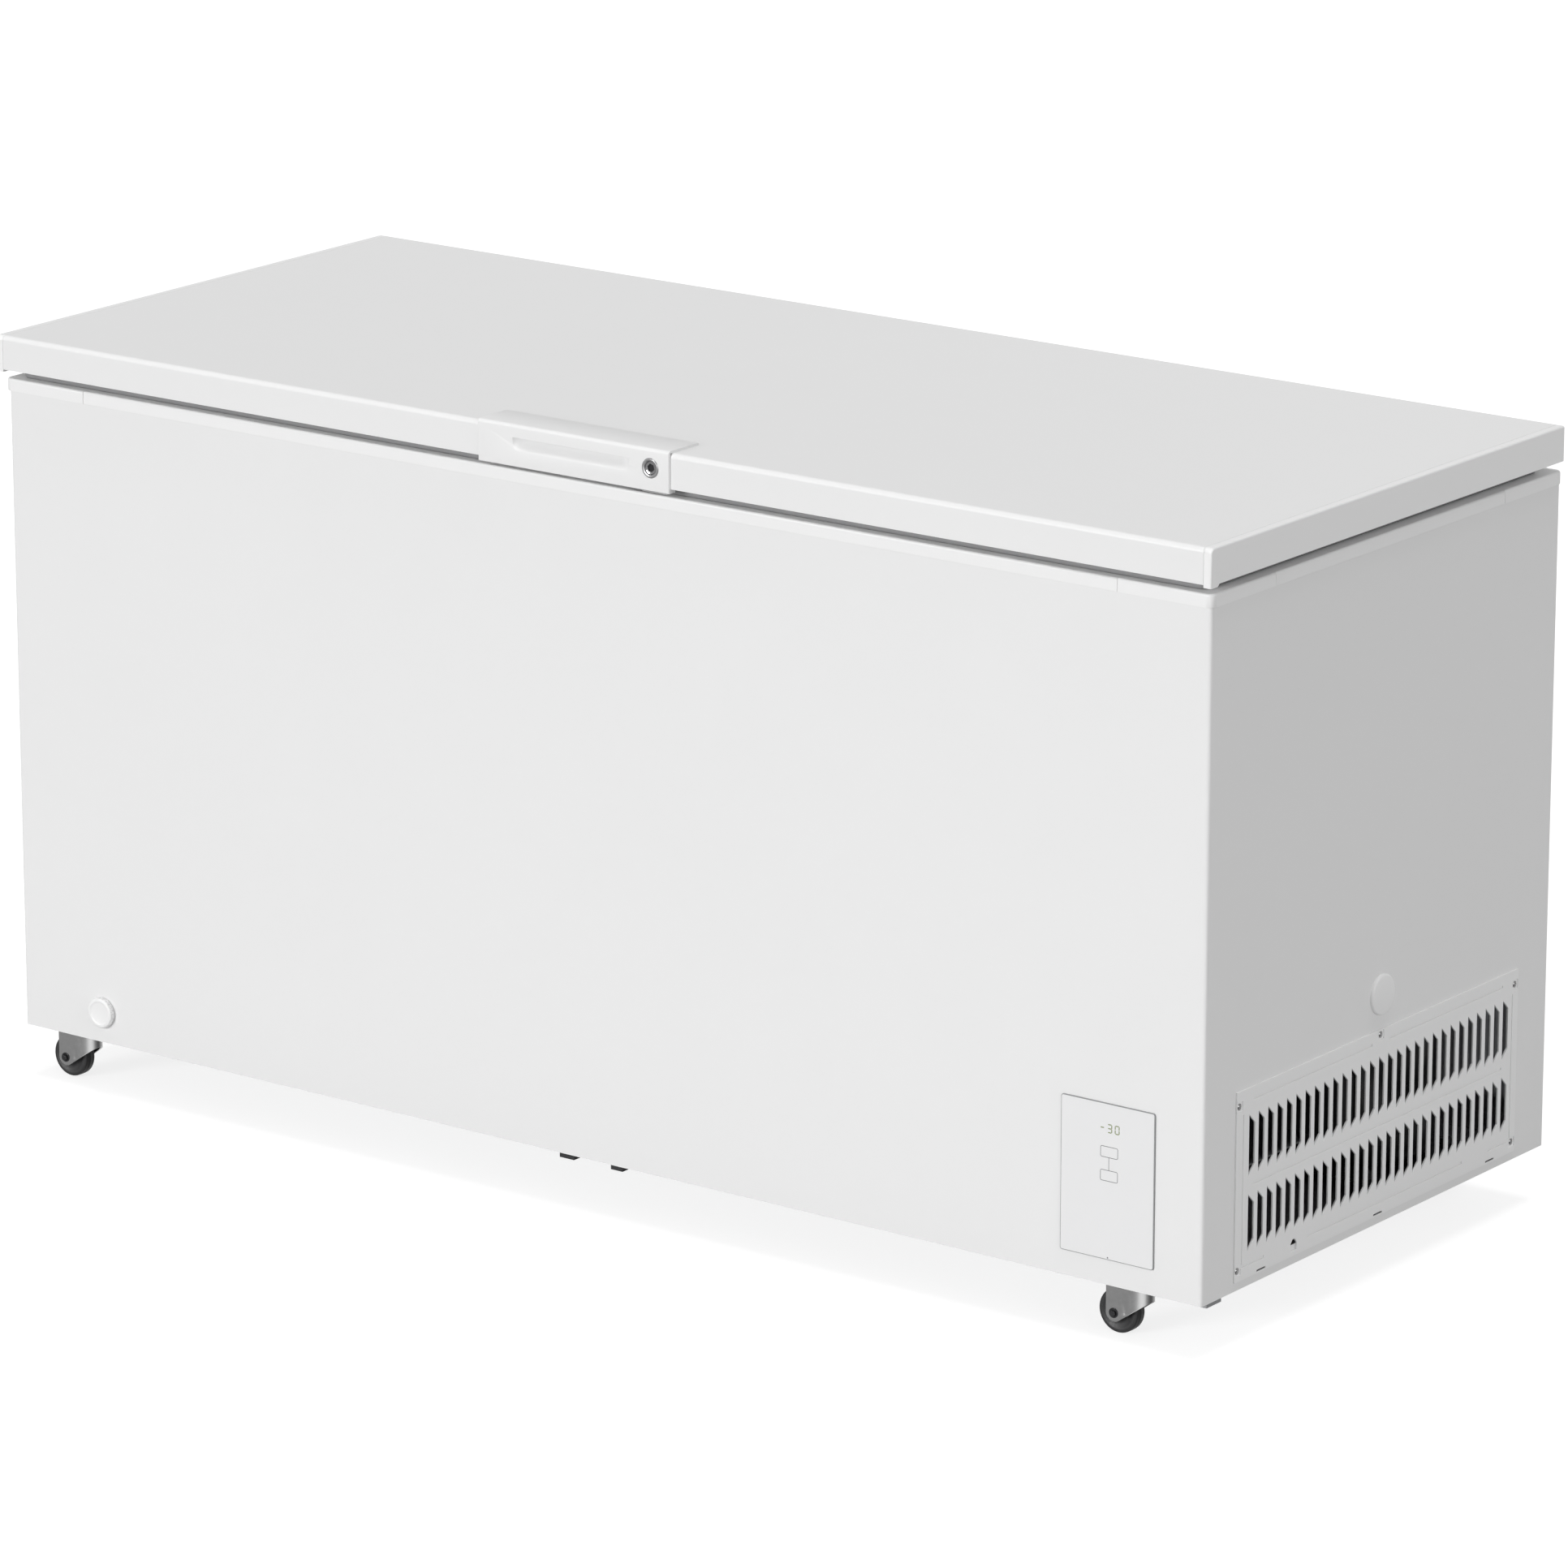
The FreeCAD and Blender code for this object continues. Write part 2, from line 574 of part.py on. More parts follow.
def make_insulation():
    body = make_body("foam_block", ("0", "0", "place.under + size.skin"))
    plan = rectangle("place.left + size.skin", "place.front + size.skin",
                     "place.right - size.skin", "place.back - size.skin")
    pad(body, sketch(body, "foam_plan", "XY_Plane", [plan]), "place.ledge - place.under - size.skin", "foam_pad")
    round_body(body, "size.corner_radius - size.skin", lambda edge: is_along(edge, "Z")
               and near(edge.CenterOfMass.y, "place.front + size.skin"), "foam_round")
    bay = block("bay_space", ("place.bay_left", "place.front - 1", "place.under - 1"),
                ("place.right + 1", "place.back + 1", "place.bay_top"))
    tank = tank_solid("tank_outside", "size.liner_skin")
    drain = drain_pipe("drain_space", "size.drain_bore + size.drain_wall",
                       "place.front", "place.drain_y + size.drain_bore + size.drain_wall")
    stem = rod("stem_space", "X", ("place.right - size.cap_stem - 2", "place.side_cap_y", "place.side_cap_z"),
               "size.cap_stem_radius + size.stem_play", "size.cap_stem + 2")
    striker = striker_block("striker_space", "size.striker_wall")
    return cut("cabinet_foam", body, bay, tank, drain, stem, striker)


def make_liner():
    outside = tank_solid("liner_outside", "size.liner_skin")
    inside = tank_solid("liner_inside", "0")
    outlet = rod("liner_outlet", "Z", ("place.drain_x", "place.drain_y", "place.tank_floor - 5"),
                 "size.drain_bore", 10)
    return cut("inner_liner", outside, inside, outlet)


# ---------------------------------------------------------------- collar
def lock_slot(name, play, low, high):
    # the space that the cam swings through, under the lock
    return block(name, (f"place.lock_x - 27 - {play}", f"place.cam_front - size.slot_clearance - {play}", low),
                 (f"place.lock_x + 7 + {play}", f"place.cam_back + size.slot_clearance + {play}", high))


def striker_block(name, wall):
    return lock_slot(name, wall, f"place.ledge - size.striker_depth - {wall}", "place.ledge")


def make_collar():
    over = "size.collar_overhang"
    top = rounded_block("collar_top_plate", (f"place.left - {over}", f"place.front - {over}", "place.ledge"),
                        (f"place.right + {over}", f"place.back + {over}", "place.collar_top"),
                        f"size.corner_radius + {over}")
    skirt = rounded_block("collar_skirt", (f"place.left - {over}", f"place.front - {over}", "place.collar_low"),
                          (f"place.right + {over}", f"place.back + {over}", "place.ledge"),
                          f"size.corner_radius + {over}")
    skirt_inside = rounded_block("skirt_inside", ("place.left", "place.front", "place.collar_low - 1"),
                                 ("place.right", "place.back", "place.ledge"), "size.corner_radius")
    lip = rounded_block("collar_lip_block",
                        ("place.tank_left", "place.tank_front", "place.collar_top - size.collar_lip"),
                        ("place.tank_right", "place.tank_back", "place.ledge"), "size.tank_radius")
    mouth = rounded_block("collar_mouth",
                          ("place.tank_left + size.collar_wall", "place.tank_front + size.collar_wall",
                           "place.collar_low - 30"),
                          ("place.tank_right - size.collar_wall", "place.tank_back - size.collar_wall",
                           "place.collar_top + 1"), "size.tank_radius - size.collar_wall")
    # the wrapper ends in square corners at the back
    skirt_back = block("skirt_back", ("place.left", "place.middle", "place.collar_low - 1"),
                       ("place.right", "place.back", "place.ledge"))
    hollow_skirt = cut("hollow_skirt", skirt, skirt_inside, skirt_back)
    ring = cut("collar_ring", fuse("collar_solid", top, hollow_skirt, lip), mouth)
    soft_ring = rounded("collar_soft_ring", ring, "size.collar_round", is_outer_top_edge)
    leg = "size.collar_leg + size.collar_seam / 2"
    short = "size.collar_leg - size.collar_seam / 2"
    whole = ("place.collar_low - 40", "place.collar_top + 10")
    long_x = (f"place.left + {leg}", f"place.right - ({leg})")
    front_zone = block("front_zone", (long_x[0], "place.front - 10", whole[0]),
                       (long_x[1], "place.middle", whole[1]))
    back_zone = block("back_zone", (long_x[0], "place.middle", whole[0]),
                      (long_x[1], "place.back + 10", whole[1]))
    sides_zone = block("sides_zone", ("place.left - 10", f"place.front + {leg}", whole[0]),
                       ("place.right + 10", f"place.back - ({leg})", whole[1]))
    corner_zones = []
    for end_x in ("left", "right"):
        for end_y in ("front", "back"):
            low_x = "place.left - 10" if end_x == "left" else f"place.right - ({short})"
            high_x = f"place.left + {short}" if end_x == "left" else "place.right + 10"
            low_y = "place.front - 10" if end_y == "front" else f"place.back - ({short})"
            high_y = f"place.front + {short}" if end_y == "front" else "place.back + 10"
            zone = block(f"corner_zone_{end_x}_{end_y}", (low_x, low_y, whole[0]), (high_x, high_y, whole[1]))
            corner_zones.append(common(f"collar_corner_{end_x}_{end_y}", soft_ring, zone))
    slot = lock_slot("collar_slot", "0", "place.ledge - 1", "place.collar_top + 1")
    return [cut("collar_front", common("collar_front_bar", soft_ring, front_zone), slot),
            common("collar_back", soft_ring, back_zone),
            common("collar_sides", soft_ring, sides_zone),
            group("collar_corners", *corner_zones)]


def is_outer_top_edge(edge):
    box = edge.BoundBox
    on_top = near(box.ZMin, "place.collar_top") and near(box.ZMax, "place.collar_top")
    past_side = max(abs(box.XMin), abs(box.XMax)) > value("place.right - 5")
    past_front = box.YMin < value("place.front + 5") or box.YMax > value("place.back - 5")
    return on_top and (past_side or past_front)


def make_striker():
    outside = striker_block("striker_outside", "size.striker_wall")
    inside = lock_slot("striker_inside", "0", "place.ledge - size.striker_depth", "place.ledge + 1")
    return cut("striker_box", outside, inside)


# ---------------------------------------------------------------- lid
def recess_tool():
    outline = [
        ("place.handle_face - 1", "place.lid_low + size.recess_high"),
        ("place.handle_face - 1", "place.lid_low + size.recess_low"),
        ("place.handle_face + 1", "place.lid_low + size.recess_low"),
        ("place.lid_front + size.recess_depth", "place.lid_low + size.recess_high - 7"),
        ("place.lid_front + size.recess_depth", "place.lid_low + size.recess_high"),
    ]
    return prism("recess_tool", "YZ_Plane", outline, "size.recess_width", ("place.recess_left", "0", "0"))


def recess_shell(name):
    wall = "size.recess_wall"
    return block(name,
                 (f"place.recess_left - {wall}", "place.lid_front", f"place.lid_low + size.recess_low - {wall}"),
                 (f"place.recess_right + {wall}", f"place.lid_front + size.recess_depth + {wall}",
                  f"place.lid_low + size.recess_high + {wall}"))


def housing_block(name, front, wall):
    # the pocket in the lid that holds the lock and lets its cam swing
    play = f"(size.housing_play + {wall})"
    return block(name, (f"place.lock_x - size.cam_length - {play}", front, "place.lid_low"),
                 (f"place.lock_x + size.lock_ring_radius + {wall}", f"place.cam_back + {play}",
                  f"place.lock_z + size.lock_ring_radius + {wall}"))


def make_lid_skin():
    body = make_body("lid_sheet", ("place.skin_left", "0", "0"))
    wall = "size.lid_skin_wall"
    outline = [
        ("place.lid_front", "place.lid_low"), ("place.lid_front", "place.lid_top"),
        ("place.lid_back", "place.lid_top"), ("place.lid_back", "place.lid_low"),
        ("place.lid_back - size.lid_flange", "place.lid_low"),
        ("place.lid_back - size.lid_flange", f"place.lid_low + {wall}"),
        (f"place.lid_back - {wall}", f"place.lid_low + {wall}"),
        (f"place.lid_back - {wall}", f"place.lid_top - {wall}"),
        (f"place.lid_front + {wall}", f"place.lid_top - {wall}"),
        (f"place.lid_front + {wall}", f"place.lid_low + {wall}"),
        ("place.lid_front + size.lid_flange", f"place.lid_low + {wall}"),
        ("place.lid_front + size.lid_flange", "place.lid_low"),
    ]
    pad(body, sketch(body, "lid_section", "YZ_Plane", [outline]), "place.skin_right - place.skin_left", "lid_pad")
    round_lid_edges(body, "0", "lid_outer")
    round_lid_edges(body, wall, "lid_inner")
    recess = recess_shell("lid_recess_hole")
    housing = housing_block("lid_lock_hole", "place.lid_front - 1", "size.housing_wall")
    return cut("lid_skin", body, recess, housing)


def round_lid_edges(body, inset, name):
    for end, radius in (("lid_front", "size.lid_round"), ("lid_back", "size.lid_back_round")):
        side = f"place.{end} + {inset}" if end == "lid_front" else f"place.{end} - {inset}"
        round_body(body, f"{radius} - {inset}", lambda edge: is_along(edge, "X")
                   and near(edge.CenterOfMass.y, side)
                   and near(edge.CenterOfMass.z, f"place.lid_top - {inset}"), f"{name}_{end}_round")


def make_end_cap(name, near_x, far_x, wall_side):
    # near_x is the outer face; wall_side is +1 when the cap's inside lies towards +X
    body = make_body(name + "_shell", (near_x if wall_side > 0 else far_x, "0", "0"))
    profile = sketch(body, name + "_section", "YZ_Plane", [cap_outline()])
    pad(body, profile, "size.cap_width - size.cap_seam", name + "_pad")
    round_lid_edges(body, "0", name)
    outer = 0 if wall_side > 0 else value("size.cap_width - size.cap_seam")
    round_body(body, "2", lambda edge: is_along(edge, "Z") and abs(edge.CenterOfMass.x - outer) < 0.01
               and near(edge.CenterOfMass.y, "place.lid_front"), name + "_front_round")
    wall = "size.cap_wall"
    inner_low = f"{near_x} + {wall}" if wall_side > 0 else f"{far_x} - 1"
    inner_high = f"{far_x} + 1" if wall_side > 0 else f"{near_x} - {wall}"
    hollow = block(name + "_hollow", (inner_low, f"place.lid_front + {wall}", f"place.lid_low + {wall}"),
                   (inner_high, f"place.lid_back - {wall}", f"place.lid_top - {wall}"))
    return cut(name, body, hollow)


def cap_outline():
    return [
        ("place.lid_front", "place.lid_top"), ("place.lid_back", "place.lid_top"),
        ("place.lid_back", "place.lid_low"),
        ("place.lid_front + size.cap_foot", "place.lid_low"),
        ("place.lid_front + size.cap_foot - size.cap_drop", "place.lid_low - size.cap_drop"),
        ("place.lid_front", "place.lid_low - size.cap_drop"),
    ]


def plug_block(name, inset, top):
    gap = f"size.plug_gap + {inset}"
    return rounded_block(
        name,
        (f"place.tank_left + {gap}", f"place.tank_front + {gap}", f"place.lid_low - size.plug_depth + {inset}"),
        (f"place.tank_right - ({gap})", f"place.tank_back - ({gap})", top), f"size.plug_radius - {inset}")


def make_lid_inside():
    wall = "size.lid_skin_wall"
    sheet = "size.lid_liner_wall"
    body = make_body("lid_foam_block", ("place.skin_left", "0", "0"))
    outline = rectangle(f"place.lid_front + {wall}", f"place.lid_low + {sheet}",
                        f"place.lid_back - {wall}", f"place.lid_top - {wall}")
    section = sketch(body, "lid_foam_section", "YZ_Plane", [outline])
    pad(body, section, "place.skin_right - place.skin_left", "lid_foam_pad")
    round_lid_edges(body, wall, "lid_foam")
    plug_fill = plug_block("plug_fill", sheet, f"place.lid_low + {sheet}")
    recess = recess_shell("foam_recess_hole")
    housing = housing_block("foam_lock_hole", "place.lid_front - 1", "size.housing_wall")
    lamp = lamp_block("lamp_space", 0)
    foam = cut("lid_foam", fuse("lid_foam_whole", body, plug_fill), recess, housing, lamp)
    rim = block("liner_rim", ("place.skin_left", "place.lid_front + size.lid_flange", "place.lid_low"),
                ("place.skin_right", "place.lid_back - size.lid_flange", f"place.lid_low + {sheet}"))
    plug = plug_block("plug_outside", "0", "place.lid_low")
    hollow = plug_block("plug_inside", sheet, f"place.lid_low + {sheet} + 1")
    window = lamp_block("lamp_window", 3)
    liner = cut("lid_liner", fuse("liner_solid", rim, plug), hollow, window)
    return [foam, liner, lamp_block("lamp_lens", 0.0)]


def lamp_block(name, extra):
    # a flat lamp let into the inner panel, near the front
    return block(name, ("-60", "place.tank_front + 60", f"place.lid_low - size.plug_depth - {extra}"),
                 ("60", "place.tank_front + 95", "place.lid_low - size.plug_depth + 10"))


def make_gasket():
    inset = "size.gasket_inset"
    inner = "(size.gasket_inset + size.gasket_width)"
    foot = "place.collar_top + size.gasket_clearance"
    outside = rounded_block("gasket_outside",
                            (f"place.lid_left + {inset}", f"place.lid_front + {inset}", foot),
                            (f"place.lid_right - {inset}", f"place.lid_back - {inset}", "place.lid_low"), 12)
    inside = rounded_block("gasket_inside",
                           (f"place.lid_left + {inner}", f"place.lid_front + {inner}", f"{foot} - 1"),
                           (f"place.lid_right - {inner}", f"place.lid_back - {inner}", "place.lid_low + 1"), 4)
    return cut("lid_gasket", outside, inside)


def make_handle():
    top = "place.lid_top + size.handle_rise"
    foot = "place.lid_low - size.handle_drop"
    outline = [
        ("place.handle_face", foot), ("place.handle_face", top),
        ("place.lid_front + size.handle_reach", top),
        ("place.lid_front + size.handle_reach", "place.lid_top"),
        ("place.lid_front", "place.lid_top"),
        ("place.lid_front", "place.lid_low"),
        ("place.lid_front + size.handle_hem", "place.lid_low"),
        ("place.lid_front + size.handle_hem", foot),
    ]
    strap = prism("handle_strap", "YZ_Plane", outline, "size.handle_width", ("place.handle_left", "0", "0"))
    round_body(strap, "4", lambda edge: is_along(edge, "X") and near(edge.CenterOfMass.y, "place.handle_face")
               and near(edge.CenterOfMass.z, top), "handle_top_round")
    round_body(strap, "1.5", lambda edge: is_along(edge, "Z")
               and near(edge.CenterOfMass.y, "place.handle_face"), "handle_side_round")
    shell = recess_shell("handle_recess_shell")
    hole = rod("handle_lock_hole", "Y", ("place.lock_x", "place.handle_face - 1", "place.lock_z"),
               "size.lock_radius + size.lock_clearance + size.sleeve_wall + size.stem_play",
               "size.handle_proud + 2")
    return cut("handle", fuse("handle_solid", strap, shell), recess_tool(), hole)


# ---------------------------------------------------------------- lock
def make_lock():
    bore_radius = "size.lock_radius + size.lock_clearance"
    sleeve_radius = f"{bore_radius} + size.sleeve_wall"
    at = ("place.lock_x", "place.handle_face - size.lock_proud", "place.lock_z")
    rim = rod("lock_rim", "Y", at, "size.lock_ring_radius", "size.lock_proud")
    soft_rim = rounded("lock_soft_rim", rim, "0.8", lambda edge: near(edge.CenterOfMass.y, at[1])
                       and not is_along(edge, "Y"))
    sleeve = rod("lock_sleeve", "Y", at, sleeve_radius, "size.lock_proud + size.sleeve_length")
    bore = rod("lock_bore", "Y", ("place.lock_x", "place.handle_face - 5", "place.lock_z"), bore_radius, 40)
    ring = cut("lock_ring", fuse("lock_ring_solid", soft_rim, sleeve), bore)

    outside = housing_block("housing_outside", "place.lid_front + size.lid_skin_wall", "size.housing_wall")
    wall_back = "place.cam_front - size.housing_play"
    swing = housing_block("housing_swing", wall_back, "0")
    swing_down = block("housing_mouth",
                       ("place.lock_x - size.cam_length - size.housing_play", wall_back, "place.lid_low - 1"),
                       ("place.lock_x + size.lock_ring_radius", "place.cam_back + size.housing_play",
                        "place.lid_low + 1"))
    seat = rod("housing_seat", "Y", ("place.lock_x", "place.lid_front - 1", "place.lock_z"),
               f"{sleeve_radius} + size.stem_play", f"{wall_back} - place.lid_front + 2")
    clear_recess = recess_shell("housing_recess_clear")
    housing = cut("lock_housing", outside, swing, swing_down, seat, clear_recess)

    plug = rod("cylinder_plug", "Y", ("place.lock_x", "place.handle_face - size.lock_proud + 0.4", "place.lock_z"),
               "size.lock_radius", "place.cam_front - place.handle_face + size.lock_proud - 0.4")
    cam_bar = block("cam_bar",
                    ("place.lock_x - size.cam_length + size.cam_half_width", "place.cam_front",
                     "place.lock_z - size.cam_half_width"),
                    ("place.lock_x", "place.cam_back", "place.lock_z + size.cam_half_width"))
    cam_tip = rod("cam_tip", "Y", ("place.lock_x - size.cam_length + size.cam_half_width",
                                   "place.cam_front", "place.lock_z"), "size.cam_half_width", "size.cam_thickness")
    cam_eye = rod("cam_eye", "Y", ("place.lock_x", "place.cam_front", "place.lock_z"),
                  "size.lock_radius - 0.5", "size.cam_thickness")
    keyhole = block("keyhole", ("place.lock_x - 1.1", "place.handle_face - 5", "place.lock_z - 3.6"),
                    ("place.lock_x + 1.1", "place.handle_face + 6", "place.lock_z + 3.6"))
    cylinder = cut("lock_cylinder", fuse("cylinder_solid", plug, cam_bar, cam_tip, cam_eye), keyhole)
    return [ring, housing, cylinder]


# ---------------------------------------------------------------- hinges
def make_hinges():
    bases, arms, pins, springs, screws = [], [], [], [], []
    for side, sign in (("left", "-"), ("right", "+")):
        x = f"{sign} size.hinge_spread / 2"
        sheet = "size.hinge_sheet"
        low = "place.collar_low - size.hinge_drop"
        plate = block(f"hinge_plate_{side}", (f"{x} - size.hinge_width / 2", "place.back", low),
                      (f"{x} + size.hinge_width / 2", f"place.back + {sheet} - 0.5", "place.collar_low - 3"))
        pieces = [plate]
        lugs = []
        for cheek, inner, outer in (("a", "-", "-"), ("b", "+", "+")):
            edge = f"{x} {outer} size.hinge_width / 2"
            start, end = (edge, f"{edge} + {sheet}") if cheek == "a" else (f"{edge} - {sheet}", edge)
            pieces.append(block(f"hinge_foot_{side}_{cheek}", (start, "place.back", low),
                                (end, "place.pin_y + size.hinge_eye", "place.collar_low - 8")))
            pieces.append(block(f"hinge_cheek_{side}_{cheek}",
                                (start, "place.pin_y - size.hinge_eye", "place.collar_low - 12"),
                                (end, "place.pin_y + size.hinge_eye", "place.pin_z")))
            pieces.append(rod(f"hinge_eye_{side}_{cheek}", "X", (start, "place.pin_y", "place.pin_z"),
                              "size.hinge_eye", sheet))
            lug_edge = f"{x} {inner} size.arm_width / 2"
            start, end = (lug_edge, f"{lug_edge} + {sheet}") if cheek == "a" else (f"{lug_edge} - {sheet}", lug_edge)
            lugs.append(block(f"arm_lug_{side}_{cheek}", (start, "place.lid_back", "place.pin_z - size.hinge_eye + 1"),
                              (end, "place.pin_y", "place.pin_z + size.hinge_eye - 1")))
            lugs.append(rod(f"arm_eye_{side}_{cheek}", "X", (start, "place.pin_y", "place.pin_z"),
                            "size.hinge_eye - 1", sheet))
        leaf = block(f"arm_leaf_{side}", (f"{x} - size.arm_width / 2", "place.lid_back", "place.lid_low + 1"),
                     (f"{x} + size.arm_width / 2", "place.lid_back + 2", "place.lid_top - 4"))
        bore = ("place.pin_y", "place.pin_z")
        tight = rod(f"base_bore_{side}", "X", (f"{x} - 50", *bore), "size.pin_radius", 100)
        loose = rod(f"arm_bore_{side}", "X", (f"{x} - 50", *bore), "size.pin_radius + size.pin_clearance", 100)
        bases.append(cut(f"hinge_base_{side}", fuse(f"hinge_base_solid_{side}", *pieces), tight))
        arms.append(cut(f"hinge_arm_{side}", fuse(f"hinge_arm_solid_{side}", leaf, *lugs), loose))
        shaft = rod(f"pin_shaft_{side}", "X", (f"{x} - size.hinge_width / 2 - 2", *bore), "size.pin_radius",
                    "size.hinge_width + 4")
        head = rod(f"pin_head_{side}", "X", (f"{x} - size.hinge_width / 2 - 2", *bore),
                   "size.pin_radius + 2", 2)
        pins.append(fuse(f"hinge_pin_{side}", shaft, head))
        length = "size.arm_width - 2 * size.hinge_sheet - 2"
        coil = rod(f"spring_outside_{side}", "X", (f"{x} - ({length}) / 2", *bore), "size.spring_radius", length)
        core = rod(f"spring_inside_{side}", "X", (f"{x} - 40", *bore), "size.pin_radius + size.spring_play", 80)
        springs.append(cut(f"hinge_spring_{side}", coil, core))
        for number, (across, drop) in enumerate(((-16, 22), (16, 22), (-16, 70), (16, 70))):
            screws.append(rod(f"hinge_screw_{side}_{number}", "Y",
                              (f"{x} + {across}", f"place.back + {sheet} - 0.5", f"place.collar_low - {drop}"), 5, 3))
    return [group("hinge_bases", *bases), group("hinge_arms", *arms), group("hinge_pins", *pins),
            group("hinge_springs", *springs), group("hinge_screws", *screws)]


# ---------------------------------------------------------------- casters
caster_spots = [
    ("front_left", "place.left + size.caster_left", "place.front + size.caster_inset"),
    ("front_right", "place.right - size.caster_right", "place.front + size.caster_inset"),
    ("back_left", "place.left + size.caster_left", "place.back - size.caster_inset"),
    ("back_right", "place.right - size.caster_right", "place.back - size.caster_inset"),
]


def make_caster_plates():
    plates = []
    for corner, x, y in caster_spots:
        plate = rounded_block(f"plate_{corner}",
                              (f"{x} - size.plate_length / 2", f"{y} - size.plate_width / 2",
                               "place.under - size.plate_thickness"),
                              (f"{x} + size.plate_length / 2", f"{y} + size.plate_width / 2", "place.under"), 5)
        race = rod(f"race_{corner}", "Z", (x, y, "place.under - size.plate_thickness - size.race_height"),
                   "size.race_radius", "size.race_height")
        kingpin = rod(f"kingpin_{corner}", "Z", (x, y, "place.fork_top - size.fork_sheet - 3"),
                      "size.kingpin_radius", "place.under - place.fork_top + size.fork_sheet + 3")
        rivet = rod(f"rivet_{corner}", "Z", (x, y, "place.fork_top - size.fork_sheet - 3"),
                    "size.kingpin_radius + 2.5", 2.7)
        plates.append(fuse(f"caster_plate_{corner}", plate, race, kingpin, rivet))
    return group("caster_plates", *plates)


def fork_form(name, inset, low, high, x, y):
    # straight legs that run into a half-round at the swivel axis
    half = f"size.fork_half_width - {inset}"
    tail = "size.wheel_trail + size.fork_tail"
    legs = block(name + "_legs", (f"{x} - ({tail}) - {inset}", f"{y} - ({half})", low), (x, f"{y} + {half}", high))
    bend = rod(name + "_bend", "Z", (x, y, low), half, f"{high} - ({low})")
    return fuse(name, legs, bend)


def make_caster(corner, x, y):
    tail = "size.wheel_trail + size.fork_tail"
    bottom = "size.wheel_radius - size.fork_tail"
    outside = fork_form(f"fork_outside_{corner}", "0", bottom, "place.fork_top", x, y)
    inside = fork_form(f"fork_inside_{corner}", "size.fork_sheet", f"{bottom} - 1",
                       "place.fork_top - size.fork_sheet", x, y)
    slope_rise = "size.fork_slope * (size.wheel_trail + size.fork_half_width + 6)"
    below = [
        ("-size.wheel_trail + 6", f"{bottom} - 2"),
        ("size.fork_half_width + 6", f"{bottom} - 2"),
        ("size.fork_half_width + 6", f"{bottom} + {slope_rise} - size.fork_slope * 6"),
        ("-size.wheel_trail + 6", bottom),
    ]
    slant = prism(f"fork_slant_{corner}", "XZ_Plane", below, "2 * size.fork_half_width + 4",
                  (x, f"{y} + size.fork_half_width + 2", "0"))
    toe = [
        (f"-({tail}) - 2", f"{bottom} - 1"), ("-size.wheel_trail - 4", f"{bottom} - 1"),
        ("-size.wheel_trail - 4", bottom), (f"-({tail}) + 1.5", f"{bottom} + 3"),
        (f"-({tail})", f"{bottom} + 6"), (f"-({tail}) - 2", f"{bottom} + 6"),
    ]
    toe_cut = prism(f"fork_toe_{corner}", "XZ_Plane", toe, "2 * size.fork_half_width + 4",
                    (x, f"{y} + size.fork_half_width + 2", "0"))
    axle_x = f"{x} - size.wheel_trail"
    bore = rod(f"fork_bore_{corner}", "Y", (axle_x, f"{y} - 40", "size.wheel_radius"), "size.axle_radius", 80)
    swivel = rod(f"fork_swivel_{corner}", "Z", (x, y, "place.fork_top - 10"),
                 "size.kingpin_radius + size.kingpin_clearance", 12)
    fork = cut(f"fork_{corner}", outside, inside, slant, toe_cut, bore, swivel)
    shaft = rod(f"axle_shaft_{corner}", "Y", (axle_x, f"{y} - size.fork_half_width", "size.wheel_radius"),
                "size.axle_radius", "2 * size.fork_half_width")
    heads = [shaft]
    for end, start in (("near", f"{y} - size.fork_half_width - size.axle_head"),
                       ("far", f"{y} + size.fork_half_width")):
        heads.append(rod(f"axle_{end}_{corner}", "Y", (axle_x, start, "size.wheel_radius"),
                         "size.axle_head_radius", "size.axle_head"))
    bolt = fuse(f"axle_{corner}", *heads)
    return [group(f"caster_fork_{corner}", fork, bolt), make_wheel(corner, axle_x, y)]


def make_wheel(corner, x, y):
    body = make_body(f"caster_wheel_{corner}", (x, y, "size.wheel_radius"))
    half = "size.wheel_width / 2"
    hub_half = "size.fork_half_width - size.fork_sheet - size.hub_play"
    bore = "size.axle_radius + size.axle_clearance"
    outline = [
        (bore, f"-({hub_half})"), ("size.hub_radius", f"-({hub_half})"),
        ("size.hub_radius", f"-({half}) + 2"), ("size.wheel_radius - 7", f"-({half}) + 2"),
        ("size.wheel_radius - 5", f"-({half})"), ("size.wheel_radius", f"-({half})"),
        ("size.wheel_radius", half), ("size.wheel_radius - 5", half),
        ("size.wheel_radius - 7", f"{half} - 2"), ("size.hub_radius", f"{half} - 2"),
        ("size.hub_radius", hub_half), (bore, hub_half),
    ]
    profile = sketch(body, f"wheel_section_{corner}", "XY_Plane", [outline])
    revolve(body, profile, "V_Axis", f"wheel_turn_{corner}")
    round_body(body, "size.wheel_round", lambda edge: len(edge.Vertexes) == 1
               and near(edge.Curve.Radius, "size.wheel_radius"), f"wheel_round_{corner}")
    return body


